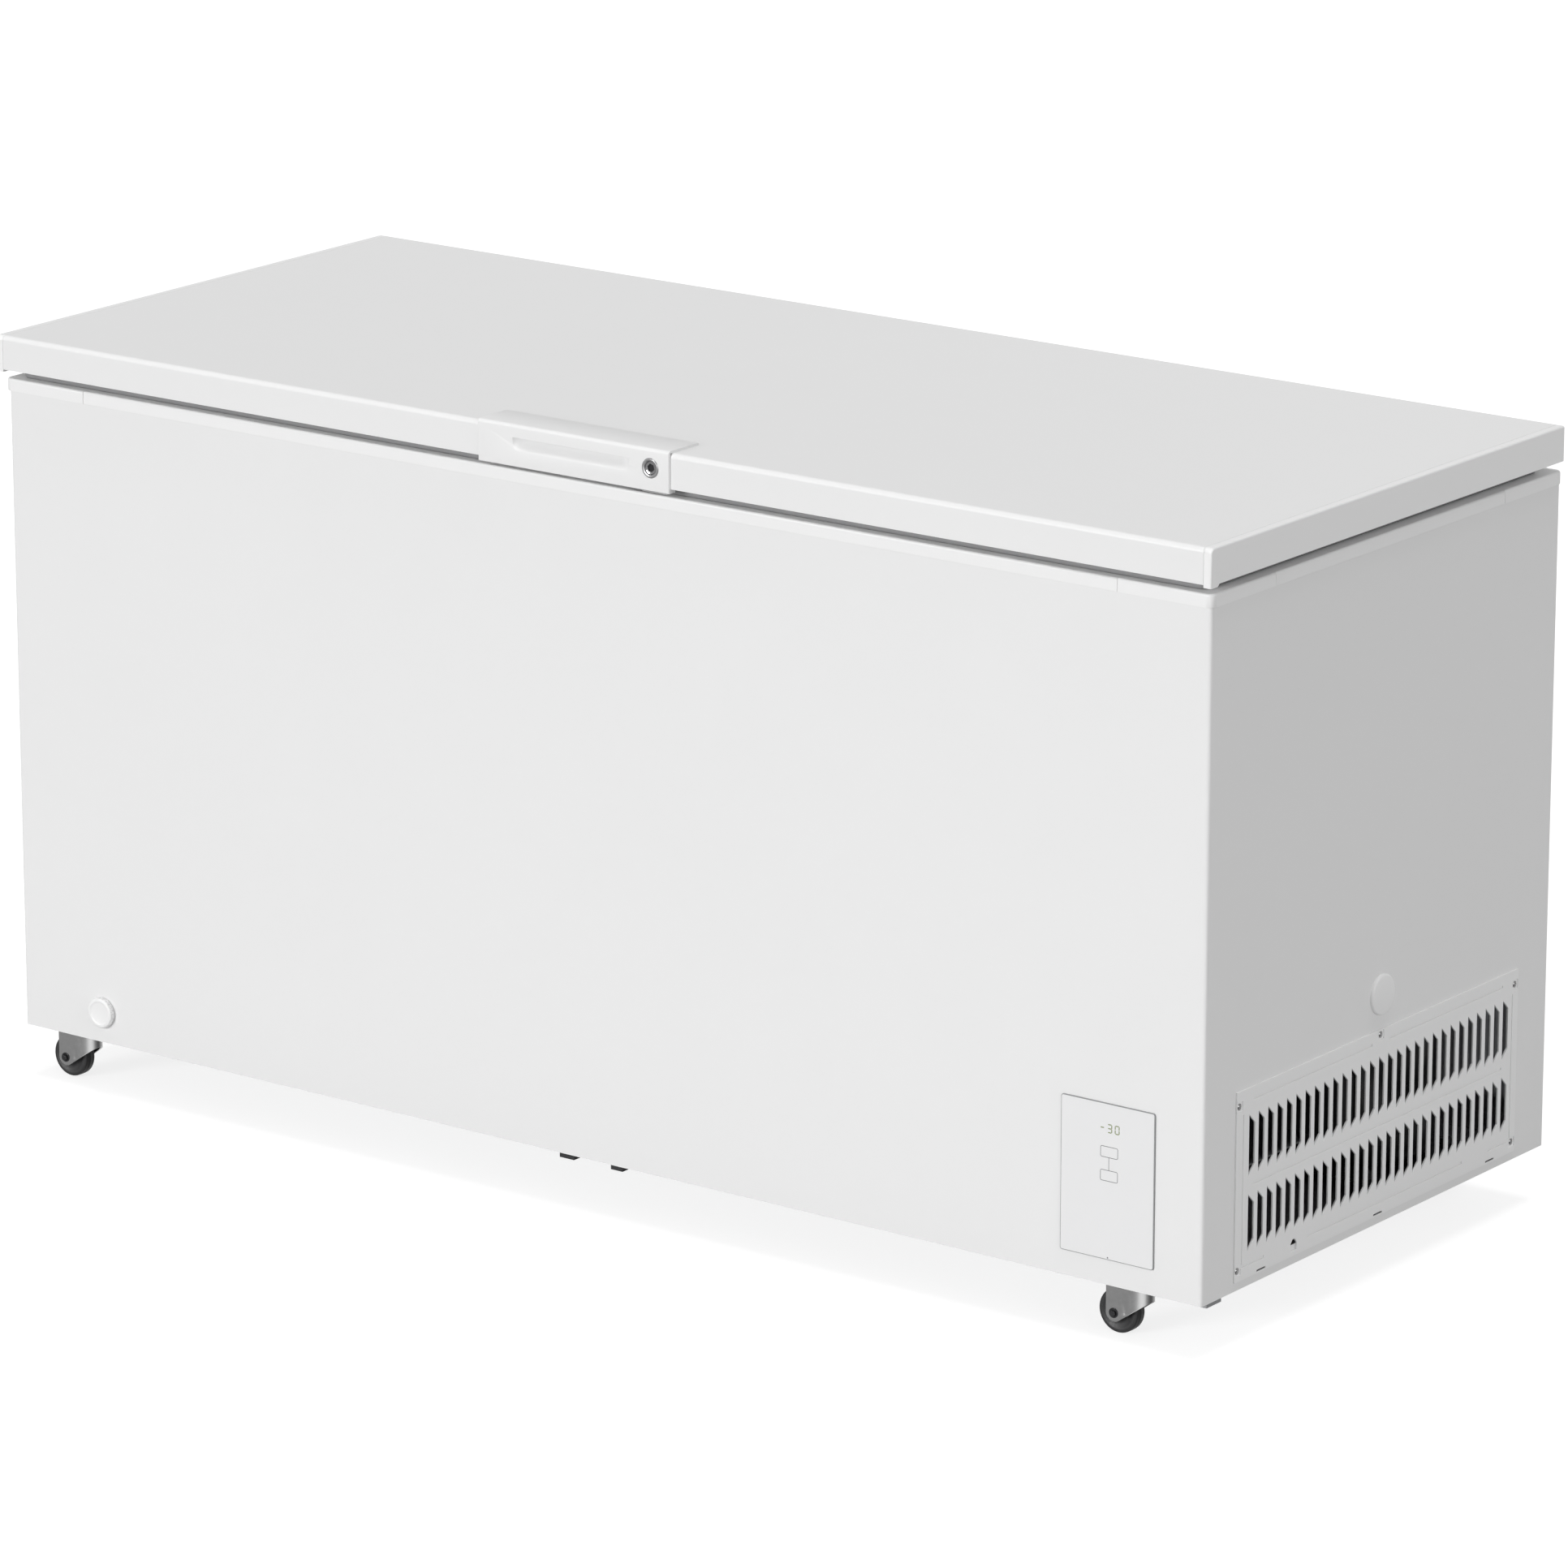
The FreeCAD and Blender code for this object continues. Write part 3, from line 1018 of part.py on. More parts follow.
# ---------------------------------------------------------------- right side and front fittings
def make_grille():
    body = make_body("side_grille", ("place.right", "place.grille_y", "place.grille_z"))
    plan = rectangle("0", "0", "size.grille_width", "size.grille_height")
    pad(body, sketch(body, "grille_plan", "YZ_Plane", [plan]), "size.grille_sheet", "grille_pad")
    slot_start = "size.slot_start"
    slot_end = "size.slot_start + size.slot_width"
    loops = []
    for foot, top in (("size.slot_low_foot", "size.slot_low_top"), ("size.slot_high_foot", "size.slot_high_top")):
        loops.append([(slot_start, foot), (slot_end, f"{foot} + size.slot_width"),
                      (slot_end, f"{top} - size.slot_width"), (slot_start, top)])
    slots = sketch(body, "grille_slot", "YZ_Plane", loops)
    first = pocket(body, slots, "size.grille_sheet + 2", "grille_slot_cut", True)
    row = body.newObject("PartDesign::LinearPattern", "grille_slot_row")
    row.Originals = [first]
    row.Direction = (slots, ["H_Axis"])
    row.setExpression("Length", "size.slot_pitch * (size.slot_count - 1)")
    row.setExpression("Occurrences", "size.slot_count")
    body.Tip = row
    doc.recompute()
    grooves = sketch(body, "grille_grooves", "YZ_Plane", grille_grooves())
    pocket(body, grooves, "size.grille_sheet + 2", "grille_groove_cut", True)
    beds = sketch(body, "grille_groove_beds", "YZ_Plane", grille_grooves())
    pad(body, beds, "size.grille_sheet - size.groove_depth", "grille_groove_bed_pad")
    seats = sketch(body, "grille_seats", "YZ_Plane", screw_seats())
    pocket(body, seats, "size.grille_sheet + 2", "grille_seat_cut", True)
    floors = sketch(body, "grille_seat_floors", "YZ_Plane", screw_seats())
    pad(body, floors, "size.grille_sheet - size.screw_seat_depth", "grille_seat_floor_pad")
    wide = 8.5
    clips = [rectangle(f"size.grille_width * {share} - {wide}", 1.6, f"size.grille_width * {share} + {wide}", 3.6)
             for share in (0.0914, 0.5, 0.908)]
    arch_x, arch_half, arch_low, arch_top = 112.6, 5.8, 5.7, 19.2
    arch = [(arch_x - arch_half, arch_low), (arch_x + arch_half, arch_low),
            (arch_x + arch_half, arch_top - 5), (arch_x + arch_half - 3, arch_top - 1),
            (arch_x, arch_top), (arch_x - arch_half + 3, arch_top - 1), (arch_x - arch_half, arch_top - 5)]
    holes = sketch(body, "grille_small_holes", "YZ_Plane", clips + [arch])
    pocket(body, holes, "size.grille_sheet + 2", "grille_small_cut", True)
    return body


def screw_seats():
    half = "size.screw_seat / 2"
    return [rectangle(f"{across} - {half}", f"{up} - {half}", f"{across} + {half}", f"{up} + {half}")
            for across, up in grille_screw_spots()]


def grille_screw_spots():
    inset = "(size.screw_seat / 2 + 0.6)"
    far = f"size.grille_width - {inset}"
    return [(inset, f"{inset} + 6"), (far, f"{inset} + 6"), (inset, "size.grille_height - 16.9"),
            (far, "size.grille_height - 16.9"), ("size.grille_width / 2", f"size.grille_height - {inset}")]


def grille_grooves():
    # pressed grooves: two along the top, one between the rows, one low, and one round each lower corner
    half = "size.groove_width / 2"
    near_end, far_end = "31.5", "size.grille_width - 31.5"
    middle = "size.grille_width / 2"
    between = "(size.slot_low_top + size.slot_high_foot) / 2"
    top_line = "size.slot_high_top + 16.2"
    low_line = "size.slot_low_foot - 14.4"
    bars = [(near_end, f"{middle} - 17", top_line), (f"{middle} + 17", far_end, top_line),
            (near_end, far_end, between), ("139.5", "size.grille_width - 108.6", low_line)]
    loops = [rectangle(start, f"{line} - {half}", end, f"{line} + {half}") for start, end, line in bars]
    side_top = "size.slot_high_top + 2.7"
    for outer, inner, end in (("10.7", "13.7", "55.7"),
                              ("size.grille_width - 10.7", "size.grille_width - 13.7", "size.grille_width - 55.7")):
        loops.append([(outer, f"{low_line} - {half}"), (end, f"{low_line} - {half}"),
                      (end, f"{low_line} + {half}"), (inner, f"{low_line} + {half}"),
                      (inner, side_top), (outer, side_top)])
    return loops


def make_cover_screws():
    heads = []
    for number, (across, up) in enumerate(grille_screw_spots()):
        heads.append(rod(f"grille_screw_{number}", "X",
                         ("place.right + size.grille_sheet - size.screw_seat_depth",
                          f"place.grille_y + {across}", f"place.grille_z + {up}"),
                         "size.screw_head_radius", 1))
    for number, (x, z) in enumerate((("place.bay_left + 18", "place.under + 18"),
                                     ("place.right - 18", "place.under + 18"),
                                     ("place.bay_left + 18", "place.bay_top - 18"),
                                     ("place.right - 18", "place.bay_top - 18"))):
        heads.append(rod(f"rear_screw_{number}", "Y", (x, "place.back + 1.5", z), "size.screw_head_radius", 2))
    return group("cover_screws", *heads)


def make_side_cap():
    head = rod("cap_head", "X", ("place.right", "place.side_cap_y", "place.side_cap_z"),
               "size.cap_radius", "size.cap_proud")
    soft_head = rounded("cap_soft_head", head, "1.5",
                        lambda edge: near(edge.CenterOfMass.x, "place.right + size.cap_proud")
                        and not is_along(edge, "X"))
    stem = rod("cap_stem_rod", "X", ("place.right - size.cap_stem", "place.side_cap_y", "place.side_cap_z"),
               "size.cap_stem_radius", "size.cap_stem")
    return fuse("side_cap", soft_head, stem)


def panel_block(name, inset, front, back):
    return ((f"place.panel_left + {inset}", front, f"place.panel_foot + {inset}"),
            (f"place.panel_right - ({inset})", back, f"place.panel_head - ({inset})"))


def make_control_panel():
    face = "place.front - size.glass_proud"
    rim_low, rim_high = panel_block("rim", "0", f"{face} + 0.4", "place.front")
    rim = rounded_block("bezel_outside", rim_low, rim_high, "size.panel_round", "Y")
    hole_low, hole_high = panel_block("hole", "size.panel_rim", "place.front - 5", "place.front + 1")
    hole = rounded_block("bezel_inside", hole_low, hole_high, "size.panel_round - size.panel_rim", "Y")
    bezel = cut("control_bezel", rim, hole)
    glass_low, glass_high = panel_block("glass", "size.panel_rim", face, "place.front")
    glass = rounded_block("control_glass", glass_low, glass_high, "size.panel_round - size.panel_rim", "Y")
    inset = "size.panel_cut + size.stem_play"
    box = block("housing_box", *panel_block("box", inset, "place.front", "place.front + size.control_depth"))
    space = block("housing_space", *panel_block("space", f"{inset} + size.control_wall", "place.front - 1",
                                                "place.front + size.control_depth - size.control_wall"))
    housing = cut("control_housing", box, space)
    board = block("board_plate", *panel_block("plate", f"{inset} + size.control_wall + 4",
                                              "place.front + 8", "place.front + 9.6"))
    low = "place.panel_head - 52"
    display = block("display_module", ("place.panel_left + 38", "place.front", low),
                    ("place.panel_right - 38", "place.front + 8", "place.panel_head - 14"))
    driver = block("driver_block", ("place.panel_left + 40", "place.front + 9.6", "place.panel_foot + 60"),
                   ("place.panel_right - 40", "place.front + 16", "place.panel_foot + 100"))
    return [bezel, glass, housing, fuse("control_board", board, driver), display]


def make_drain():
    wall = "size.drain_bore + size.drain_wall"
    outside = drain_pipe("drain_outside", wall, "place.front + size.skin", f"place.drain_y + {wall}")
    inside = drain_pipe("drain_inside", "size.drain_bore", "place.front - 1", "place.drain_y")
    mouth = rod("drain_mouth", "Z", ("place.drain_x", "place.drain_y", "place.tank_floor - 5"),
                "size.drain_bore", 10)
    tube = cut("drain_tube", outside, inside, mouth)
    head = rod("drain_plug_disc", "Y", ("place.drain_x", "place.front - size.drain_plug_head", "place.drain_z"),
               "size.drain_plug_radius", "size.drain_plug_head")
    soft_head = rounded("drain_soft_head", head, "2",
                        lambda edge: near(edge.CenterOfMass.y, "place.front - size.drain_plug_head")
                        and not is_along(edge, "Y"))
    stub = rod("drain_plug_stub", "Y", ("place.drain_x", "place.front", "place.drain_z"),
               "size.drain_bore - size.stem_play", 22)
    plug = fuse("drain_plug", soft_head, stub)
    cover = rod("stopper_disc", "Z", ("place.drain_x", "place.drain_y", "place.tank_floor"), 14, 3)
    stub_up = rod("stopper_stub", "Z", ("place.drain_x", "place.drain_y", "place.tank_floor - 10"),
                  "size.drain_bore - size.stem_play", 10)
    tab = block("stopper_tab", ("place.drain_x - 6", "place.drain_y - 1.5", "place.tank_floor + 3"),
                ("place.drain_x + 6", "place.drain_y + 1.5", "place.tank_floor + 13"))
    stopper = fuse("drain_stopper", cover, stub_up, tab)
    return [tube, plug, stopper]


def make_base_clips():
    clips = []
    for number, (start, end) in enumerate(((-34, -13), (38, 55))):
        clips.append(block(f"base_clip_{number}", (str(start), "place.front + 2", "place.under - 6"),
                           (str(end), "place.front + 13", "place.under")))
    return group("base_clips", *clips)


# ---------------------------------------------------------------- machine bay
def make_machine():
    tray_top = "place.under + size.tray_sheet"
    front_edge = "place.front + size.bottom_flange + 0.5"
    back_edge = "place.back - size.skin"
    plate = block("tray_plate", ("place.bay_left + 2", front_edge, "place.under"),
                  ("place.right - size.skin - 0.2", back_edge, tray_top))
    rail_end = f"{front_edge} + size.rail_length"
    left_rail = block("tray_rail_left", ("place.bay_left + 4", front_edge, "place.under - size.rail_height"),
                      ("place.bay_left + 4 + size.rail_left_width", rail_end, "place.under"))
    right_rail = block("tray_rail_right",
                       ("place.right - 3 - size.rail_right_width", front_edge, "place.under - size.rail_height"),
                       ("place.right - 3", rail_end, "place.under"))
    tray = fuse("compressor_tray", plate, left_rail, right_rail)

    x, y, z = "place.compressor_x", "place.compressor_y", "place.compressor_z"
    can = rod("can_body", "Z", (x, y, f"{z} + 3"), "size.compressor_radius", "size.compressor_tall")
    soft_can = rounded("can_soft", can, "30", lambda edge: len(edge.Vertexes) == 1)
    base = rounded_block("can_base", (f"{x} - 72", f"{y} - 92", z), (f"{x} + 72", f"{y} + 92", f"{z} + 33"), 14)
    hollow = block("can_base_clear", (f"{x} - 80", f"{y} - 100", f"{z} + 3"), (f"{x} + 80", f"{y} + 100", f"{z} + 40"))
    compressor = fuse("compressor", soft_can, cut("can_feet", base, hollow))
    feet = []
    for across in (-56, 56):
        for along in (-76, 76):
            name = f"{'l' if across < 0 else 'r'}{'f' if along < 0 else 'b'}"
            feet.append(rod(f"foot_{name}", "Z", (f"{x} + {across}", f"{y} + {along}", tray_top),
                            11, "size.foot_height"))
            feet.append(rod(f"foot_bolt_{name}", "Z", (f"{x} + {across}", f"{y} + {along}", f"{z} + 3"), 6, 6))
    relay = block("relay_cover", (f"{x} - 34", f"{y} - size.compressor_radius - 34", f"{z} + 50"),
                  (f"{x} + 34", f"{y} - size.compressor_radius", f"{z} + 118"))
    top = f"{z} + size.compressor_tall - 20"
    drier_x, drier_y, drier_z = "place.bay_left + 34", "place.front + 150", f"{z} + 90"
    suction = pipe("suction_pipe", [(f"{x} - 50", f"{y} - 30", top), (f"{x} - 50", f"{y} - 30", "place.bay_top - 24"),
                                    (f"{x} - 50", f"{y} - 190", "place.bay_top - 24"),
                                    ("place.bay_left + size.skin", f"{y} - 190", "place.bay_top - 24")], 5, 16)
    discharge = pipe("discharge_pipe",
                     [(f"{x} + 48", f"{y} - 30", top), (f"{x} + 48", f"{y} - 30", "place.bay_top - 30"),
                      (f"{x} + 48", f"{drier_y} - 40", "place.bay_top - 30"),
                      (drier_x, f"{drier_y} - 40", "place.bay_top - 30"),
                      (drier_x, f"{drier_y} - 40", drier_z), (drier_x, drier_y, drier_z)], 3.2, 12)
    drier = rod("drier_can", "Y", (drier_x, drier_y, drier_z), 9, 110)
    soft_drier = rounded("filter_drier", drier, "5", lambda edge: len(edge.Vertexes) == 1)
    return [tray, compressor, group("compressor_feet", *feet), relay,
            group("refrigerant_pipes", suction, discharge), soft_drier]


def make_rear_cover():
    body = make_body("rear_cover", ("place.bay_left + 10", "place.back + 1.5", "place.under + 10"))
    wide = "size.bay_width - 20"
    tall = "size.bay_height - 22"
    pad(body, sketch(body, "rear_plan", "XZ_Plane", [rectangle("0", "0", wide, tall)]), "1.5", "rear_pad")
    slot = sketch(body, "rear_slot", "XZ_Plane", [rectangle("22", "36", "28", f"{tall} - 30")])
    first = pocket(body, slot, "4", "rear_slot_cut", True)
    row = body.newObject("PartDesign::LinearPattern", "rear_slot_row")
    row.Originals = [first]
    row.Direction = (slot, ["H_Axis"])
    row.setExpression("Length", f"{wide} - 50")
    row.Occurrences = 13
    body.Tip = row
    doc.recompute()
    gland_at = ("place.bay_left + 40", "place.back + 1.5", "place.under + 26")
    gland = cut("cord_gland", rod("gland_body", "Y", gland_at, 9, 8), rod("gland_bore", "Y", gland_at, 4, 9))
    return [body, gland]


# ---------------------------------------------------------------- tubes in the foam
def make_coils():
    growth = "(size.liner_skin + size.coil_radius + 0.5)"
    loops = []
    levels = []
    for number in range(int(value("size.coil_count"))):
        levels.append(("place.step_left", f"place.tank_floor + 30 + {number} * 44"))
    for number in range(int(value("size.coil_count"))):
        levels.append(("place.tank_right", f"place.step_floor + 40 + {number} * 76"))
    for number, (right, level) in enumerate(levels):
        loops.append(ring_pipe(f"coil_loop_{number}", f"place.tank_left - {growth}", f"{right} + {growth}",
                               f"place.tank_front - {growth}", f"place.tank_back + {growth}", level,
                               "size.coil_radius", f"size.tank_radius + {growth}"))
    step = "(place.collar_low - place.under - 140) / (size.condenser_runs - 1)"
    points = []
    for run in range(int(value("size.condenser_runs"))):
        ends = ["place.left + 80", "place.bay_left - 60"]
        if run % 2:
            ends.reverse()
        for end in ends:
            points.append((end, "place.front + size.skin + size.condenser_radius + 0.5",
                           f"place.under + 60 + {run} * {step}"))
    condenser = pipe("condenser_coil", points, "size.condenser_radius", 30)
    return [group("evaporator_coil", *loops), condenser]


def ring_pipe(name, left, right, front, back, level, radius, bend):
    # a closed level loop with round corners, started in the middle of its front run
    x0, x1, y0, y1, z, r = [value(part) for part in (left, right, front, back, level, bend)]
    middle = (x0 + x1) / 2
    edges = [Part.LineSegment(Vector(middle, y0, z), Vector(x1 - r, y0, z)).toShape()]
    corners = [(x1 - r, y0 + r, -90), (x1 - r, y1 - r, 0), (x0 + r, y1 - r, 90), (x0 + r, y0 + r, 180)]
    runs = [((x1, y0 + r), (x1, y1 - r)), ((x1 - r, y1), (x0 + r, y1)), ((x0, y1 - r), (x0, y0 + r)),
            ((x0 + r, y0), (middle, y0))]
    for (cx, cy, start), (run_start, run_end) in zip(corners, runs):
        arc = Part.Circle(Vector(cx, cy, z), Vector(0, 0, 1), r)
        edges.append(arc.toShape(math.radians(start), math.radians(start + 90)))
        edges.append(Part.LineSegment(Vector(*run_start, z), Vector(*run_end, z)).toShape())
    path = Part.Wire(edges)
    circle = Part.Wire([Part.Circle(Vector(middle, y0, z), Vector(1, 0, 0), value(radius)).toShape()])
    tube = doc.addObject("Part::Feature", name)
    tube.Shape = path.makePipeShell([circle], True, False)
    return tube


# ---------------------------------------------------------------- basket
def make_basket():
    wire = "size.basket_wire"
    x0, x1 = "place.basket_left", "place.basket_right"
    y0, y1 = "place.basket_front", "place.basket_back"
    z0, z1 = "place.basket_floor", "place.basket_rim"
    bars = []
    for level, name in ((z0, "floor"), (z1, "rim")):
        for y, side in ((y0, "front"), (f"{y1} - {wire}", "back")):
            bars.append(block(f"basket_{name}_{side}", (x0, y, level), (x1, f"{y} + {wire}", f"{level} + {wire}")))
        for x, side in ((x0, "left"), (f"{x1} - {wire}", "right")):
            bars.append(block(f"basket_{name}_{side}", (x, y0, level), (f"{x} + {wire}", y1, f"{level} + {wire}")))
    across, along = 6, 9
    for number in range(across):
        x = f"{x0} + (size.basket_width - {wire}) * {number} / {across - 1}"
        bars.append(block(f"basket_hoop_{number}", (x, y0, z0), (f"{x} + {wire}", y1, f"{z0} + {wire}")))
        for y, side in ((y0, "front"), (f"{y1} - {wire}", "back")):
            bars.append(block(f"basket_post_{side}_{number}", (x, y, z0), (f"{x} + {wire}", f"{y} + {wire}", z1)))
    for number in range(along):
        y = f"{y0} + ({y1} - {y0} - {wire}) * {number} / {along - 1}"
        bars.append(block(f"basket_run_{number}", (x0, y, z0), (x1, f"{y} + {wire}", f"{z0} + {wire}")))
        for x, side in ((x0, "left"), (f"{x1} - {wire}", "right")):
            bars.append(block(f"basket_end_{side}_{number}", (x, y, z0), (f"{x} + {wire}", f"{y} + {wire}", z1)))
    seat = "place.collar_top + 0.3"
    for side, inner, outer in (("front", f"{y0} + {wire}", "place.tank_front - 9"),
                               ("back", f"{y1} - {wire}", "place.tank_back + 9")):
        low_y, high_y = (outer, inner) if side == "front" else (inner, outer)
        for number, share in enumerate((0.15, 0.85)):
            x = f"{x0} + size.basket_width * {share}"
            post_y = y0 if side == "front" else f"{y1} - {wire}"
            bars.append(block(f"basket_hanger_{side}_{number}", (x, post_y, z1),
                              (f"{x} + {wire}", f"{post_y} + {wire}", f"{seat} + {wire}")))
            bars.append(block(f"basket_hook_{side}_{number}", (x, low_y, seat),
                              (f"{x} + {wire}", high_y, f"{seat} + {wire}")))
        rail_y = outer if side == "front" else f"{outer} - {wire}"
        bars.append(block(f"basket_rail_{side}", (x0, rail_y, seat), (x1, f"{rail_y} + {wire}", f"{seat} + {wire}")))
    return fuse("basket", *bars)


# ---------------------------------------------------------------- build and write
def main():
    parts = {}

    def keep(name, piece):
        piece.Label = name
        parts[name] = piece

    keep("outer_wrapper", make_wrapper())
    for name, piece in zip(("back_panel", "bottom_panel", "compartment_panel"), make_flat_panels()):
        keep(name, piece)
    keep("cabinet_foam", make_insulation())
    keep("inner_liner", make_liner())
    for name, piece in zip(("collar_front", "collar_back", "collar_sides", "collar_corners"), make_collar()):
        keep(name, piece)
    keep("striker_box", make_striker())
    keep("lid_skin", make_lid_skin())
    keep("lid_cap_left", make_end_cap("cap_left", "place.lid_left", "place.skin_left - size.cap_seam", 1))
    keep("lid_cap_right", make_end_cap("cap_right", "place.lid_right", "place.skin_right + size.cap_seam", -1))
    for name, piece in zip(("lid_foam", "lid_liner", "lamp_lens"), make_lid_inside()):
        keep(name, piece)
    keep("lid_gasket", make_gasket())
    keep("handle", make_handle())
    for name, piece in zip(("lock_ring", "lock_housing", "lock_cylinder"), make_lock()):
        keep(name, piece)
    for name, piece in zip(("hinge_bases", "hinge_arms", "hinge_pins", "hinge_springs", "hinge_screws"),
                           make_hinges()):
        keep(name, piece)
    keep("caster_plates", make_caster_plates())
    for corner, x, y in caster_spots:
        fork, wheel = make_caster(corner, x, y)
        keep(f"caster_fork_{corner}", fork)
        keep(f"caster_wheel_{corner}", wheel)
    keep("side_grille", make_grille())
    keep("cover_screws", make_cover_screws())
    keep("side_cap", make_side_cap())
    for name, piece in zip(("control_bezel", "control_glass", "control_housing", "control_board",
                            "display_module"), make_control_panel()):
        keep(name, piece)
    for name, piece in zip(("drain_tube", "drain_plug", "drain_stopper"), make_drain()):
        keep(name, piece)
    keep("base_clips", make_base_clips())
    for name, piece in zip(("compressor_tray", "compressor", "compressor_feet", "relay_cover",
                            "refrigerant_pipes", "filter_drier"), make_machine()):
        keep(name, piece)
    for name, piece in zip(("rear_cover", "cord_gland"), make_rear_cover()):
        keep(name, piece)
    for name, piece in zip(("evaporator_coil", "condenser_coil"), make_coils()):
        keep(name, piece)
    keep("basket", make_basket())

    doc.recompute()
    for thing in doc.Objects:
        if "Invalid" in thing.State or "Error" in thing.State:
            raise RuntimeError(f"{thing.Name} failed: {thing.State}")
    for name, piece in parts.items():
        if piece.Shape.isNull() or not piece.Shape.isValid() or not piece.Shape.Solids:
            raise RuntimeError(f"{name} has no valid solid")
    os.makedirs("parts", exist_ok=True)
    for name, piece in parts.items():
        piece.Shape.exportStep(f"parts/{name}.step")
        print(f"{name}: {len(piece.Shape.Solids)} solids, {piece.Shape.Volume / 1000:.1f} cm3")


main()
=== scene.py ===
import math

import bmesh
import bpy
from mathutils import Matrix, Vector


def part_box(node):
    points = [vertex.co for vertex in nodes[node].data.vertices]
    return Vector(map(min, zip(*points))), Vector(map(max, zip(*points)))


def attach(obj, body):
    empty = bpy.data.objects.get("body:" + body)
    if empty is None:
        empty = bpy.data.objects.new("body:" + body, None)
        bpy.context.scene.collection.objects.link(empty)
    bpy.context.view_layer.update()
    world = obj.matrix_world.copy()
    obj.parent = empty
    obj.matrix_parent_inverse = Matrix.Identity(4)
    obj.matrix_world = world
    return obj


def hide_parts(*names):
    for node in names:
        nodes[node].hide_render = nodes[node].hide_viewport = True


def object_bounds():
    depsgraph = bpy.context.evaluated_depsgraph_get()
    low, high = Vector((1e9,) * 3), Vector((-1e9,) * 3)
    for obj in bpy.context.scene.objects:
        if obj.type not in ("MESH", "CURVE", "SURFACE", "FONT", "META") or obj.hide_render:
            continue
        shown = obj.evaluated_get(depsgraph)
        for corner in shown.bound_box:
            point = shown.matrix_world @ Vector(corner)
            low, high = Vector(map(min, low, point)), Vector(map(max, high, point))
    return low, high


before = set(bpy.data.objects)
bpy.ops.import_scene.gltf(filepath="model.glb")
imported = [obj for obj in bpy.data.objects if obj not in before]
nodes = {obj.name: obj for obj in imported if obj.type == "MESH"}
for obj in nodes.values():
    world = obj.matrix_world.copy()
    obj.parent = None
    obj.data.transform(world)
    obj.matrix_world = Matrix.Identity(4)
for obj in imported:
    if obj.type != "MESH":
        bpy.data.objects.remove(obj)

# Chest freezer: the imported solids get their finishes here, and the pieces that need
# finer shapes (forks, wheels, gasket, basket, springs, screws) are built in mesh code.

mm = 0.001
cadLow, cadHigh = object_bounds()
corners = ("front_left", "front_right", "back_left", "back_right")


# shader groups: each makes one effect that several finishes use

def newGroup(name, inputs, outputs):
    group = bpy.data.node_groups.new(name, "ShaderNodeTree")
    for label, kind, value in inputs:
        socket = group.interface.new_socket(label, in_out="INPUT", socket_type=kind)
        if value is not None:
            socket.default_value = value
    for label, kind in outputs:
        group.interface.new_socket(label, in_out="OUTPUT", socket_type=kind)
    return group, group.nodes.new("NodeGroupInput"), group.nodes.new("NodeGroupOutput")


def place(tree, kind, x, y, **settings):
    node = tree.nodes.new(kind)
    node.location = (x, y)
    for key, value in settings.items():
        setattr(node, key, value)
    return node


def makeShadeVariation():
    # cloudy change of colour and roughness, as on any surface that has been handled
    group, given, result = newGroup("shadeVariation", [
        ("Color", "NodeSocketColor", (0.8, 0.8, 0.8, 1)), ("Amount", "NodeSocketFloat", 0.05),
        ("Scale", "NodeSocketFloat", 6.0), ("RoughLow", "NodeSocketFloat", 0.3),
        ("RoughHigh", "NodeSocketFloat", 0.4)], [("Color", "NodeSocketColor"), ("Roughness", "NodeSocketFloat")])
    given.location, result.location = (-900, 0), (500, 0)
    coords = place(group, "ShaderNodeTexCoord", -900, -300)
    clouds = place(group, "ShaderNodeTexNoise", -650, -100)
    clouds.inputs["Detail"].default_value = 5
    smears = place(group, "ShaderNodeTexNoise", -650, -400)
    smears.inputs["Detail"].default_value = 8
    faster = place(group, "ShaderNodeMath", -800, -500, operation="MULTIPLY")
    faster.inputs[1].default_value = 3.7
    dim = place(group, "ShaderNodeMath", -400, -100, operation="MULTIPLY")
    rest = place(group, "ShaderNodeMath", -200, -100, operation="SUBTRACT")
    rest.inputs[0].default_value = 1.0
    shade = place(group, "ShaderNodeVectorMath", 100, 100, operation="SCALE")
    rough = place(group, "ShaderNodeMapRange", -300, -400)
    rough.inputs["From Min"].default_value = 0.3
    rough.inputs["From Max"].default_value = 0.7
    link = group.links.new
    link(coords.outputs["Object"], clouds.inputs["Vector"])
    link(coords.outputs["Object"], smears.inputs["Vector"])
    link(given.outputs["Scale"], clouds.inputs["Scale"])
    link(given.outputs["Scale"], faster.inputs[0])
    link(faster.outputs[0], smears.inputs["Scale"])
    link(clouds.outputs["Fac"], dim.inputs[0])
    link(given.outputs["Amount"], dim.inputs[1])
    link(dim.outputs[0], rest.inputs[1])
    link(given.outputs["Color"], shade.inputs[0])
    link(rest.outputs[0], shade.inputs["Scale"])
    link(shade.outputs[0], result.inputs["Color"])
    link(smears.outputs["Fac"], rough.inputs["Value"])
    link(given.outputs["RoughLow"], rough.inputs["To Min"])
    link(given.outputs["RoughHigh"], rough.inputs["To Max"])
    link(rough.outputs["Result"], result.inputs["Roughness"])
    return group


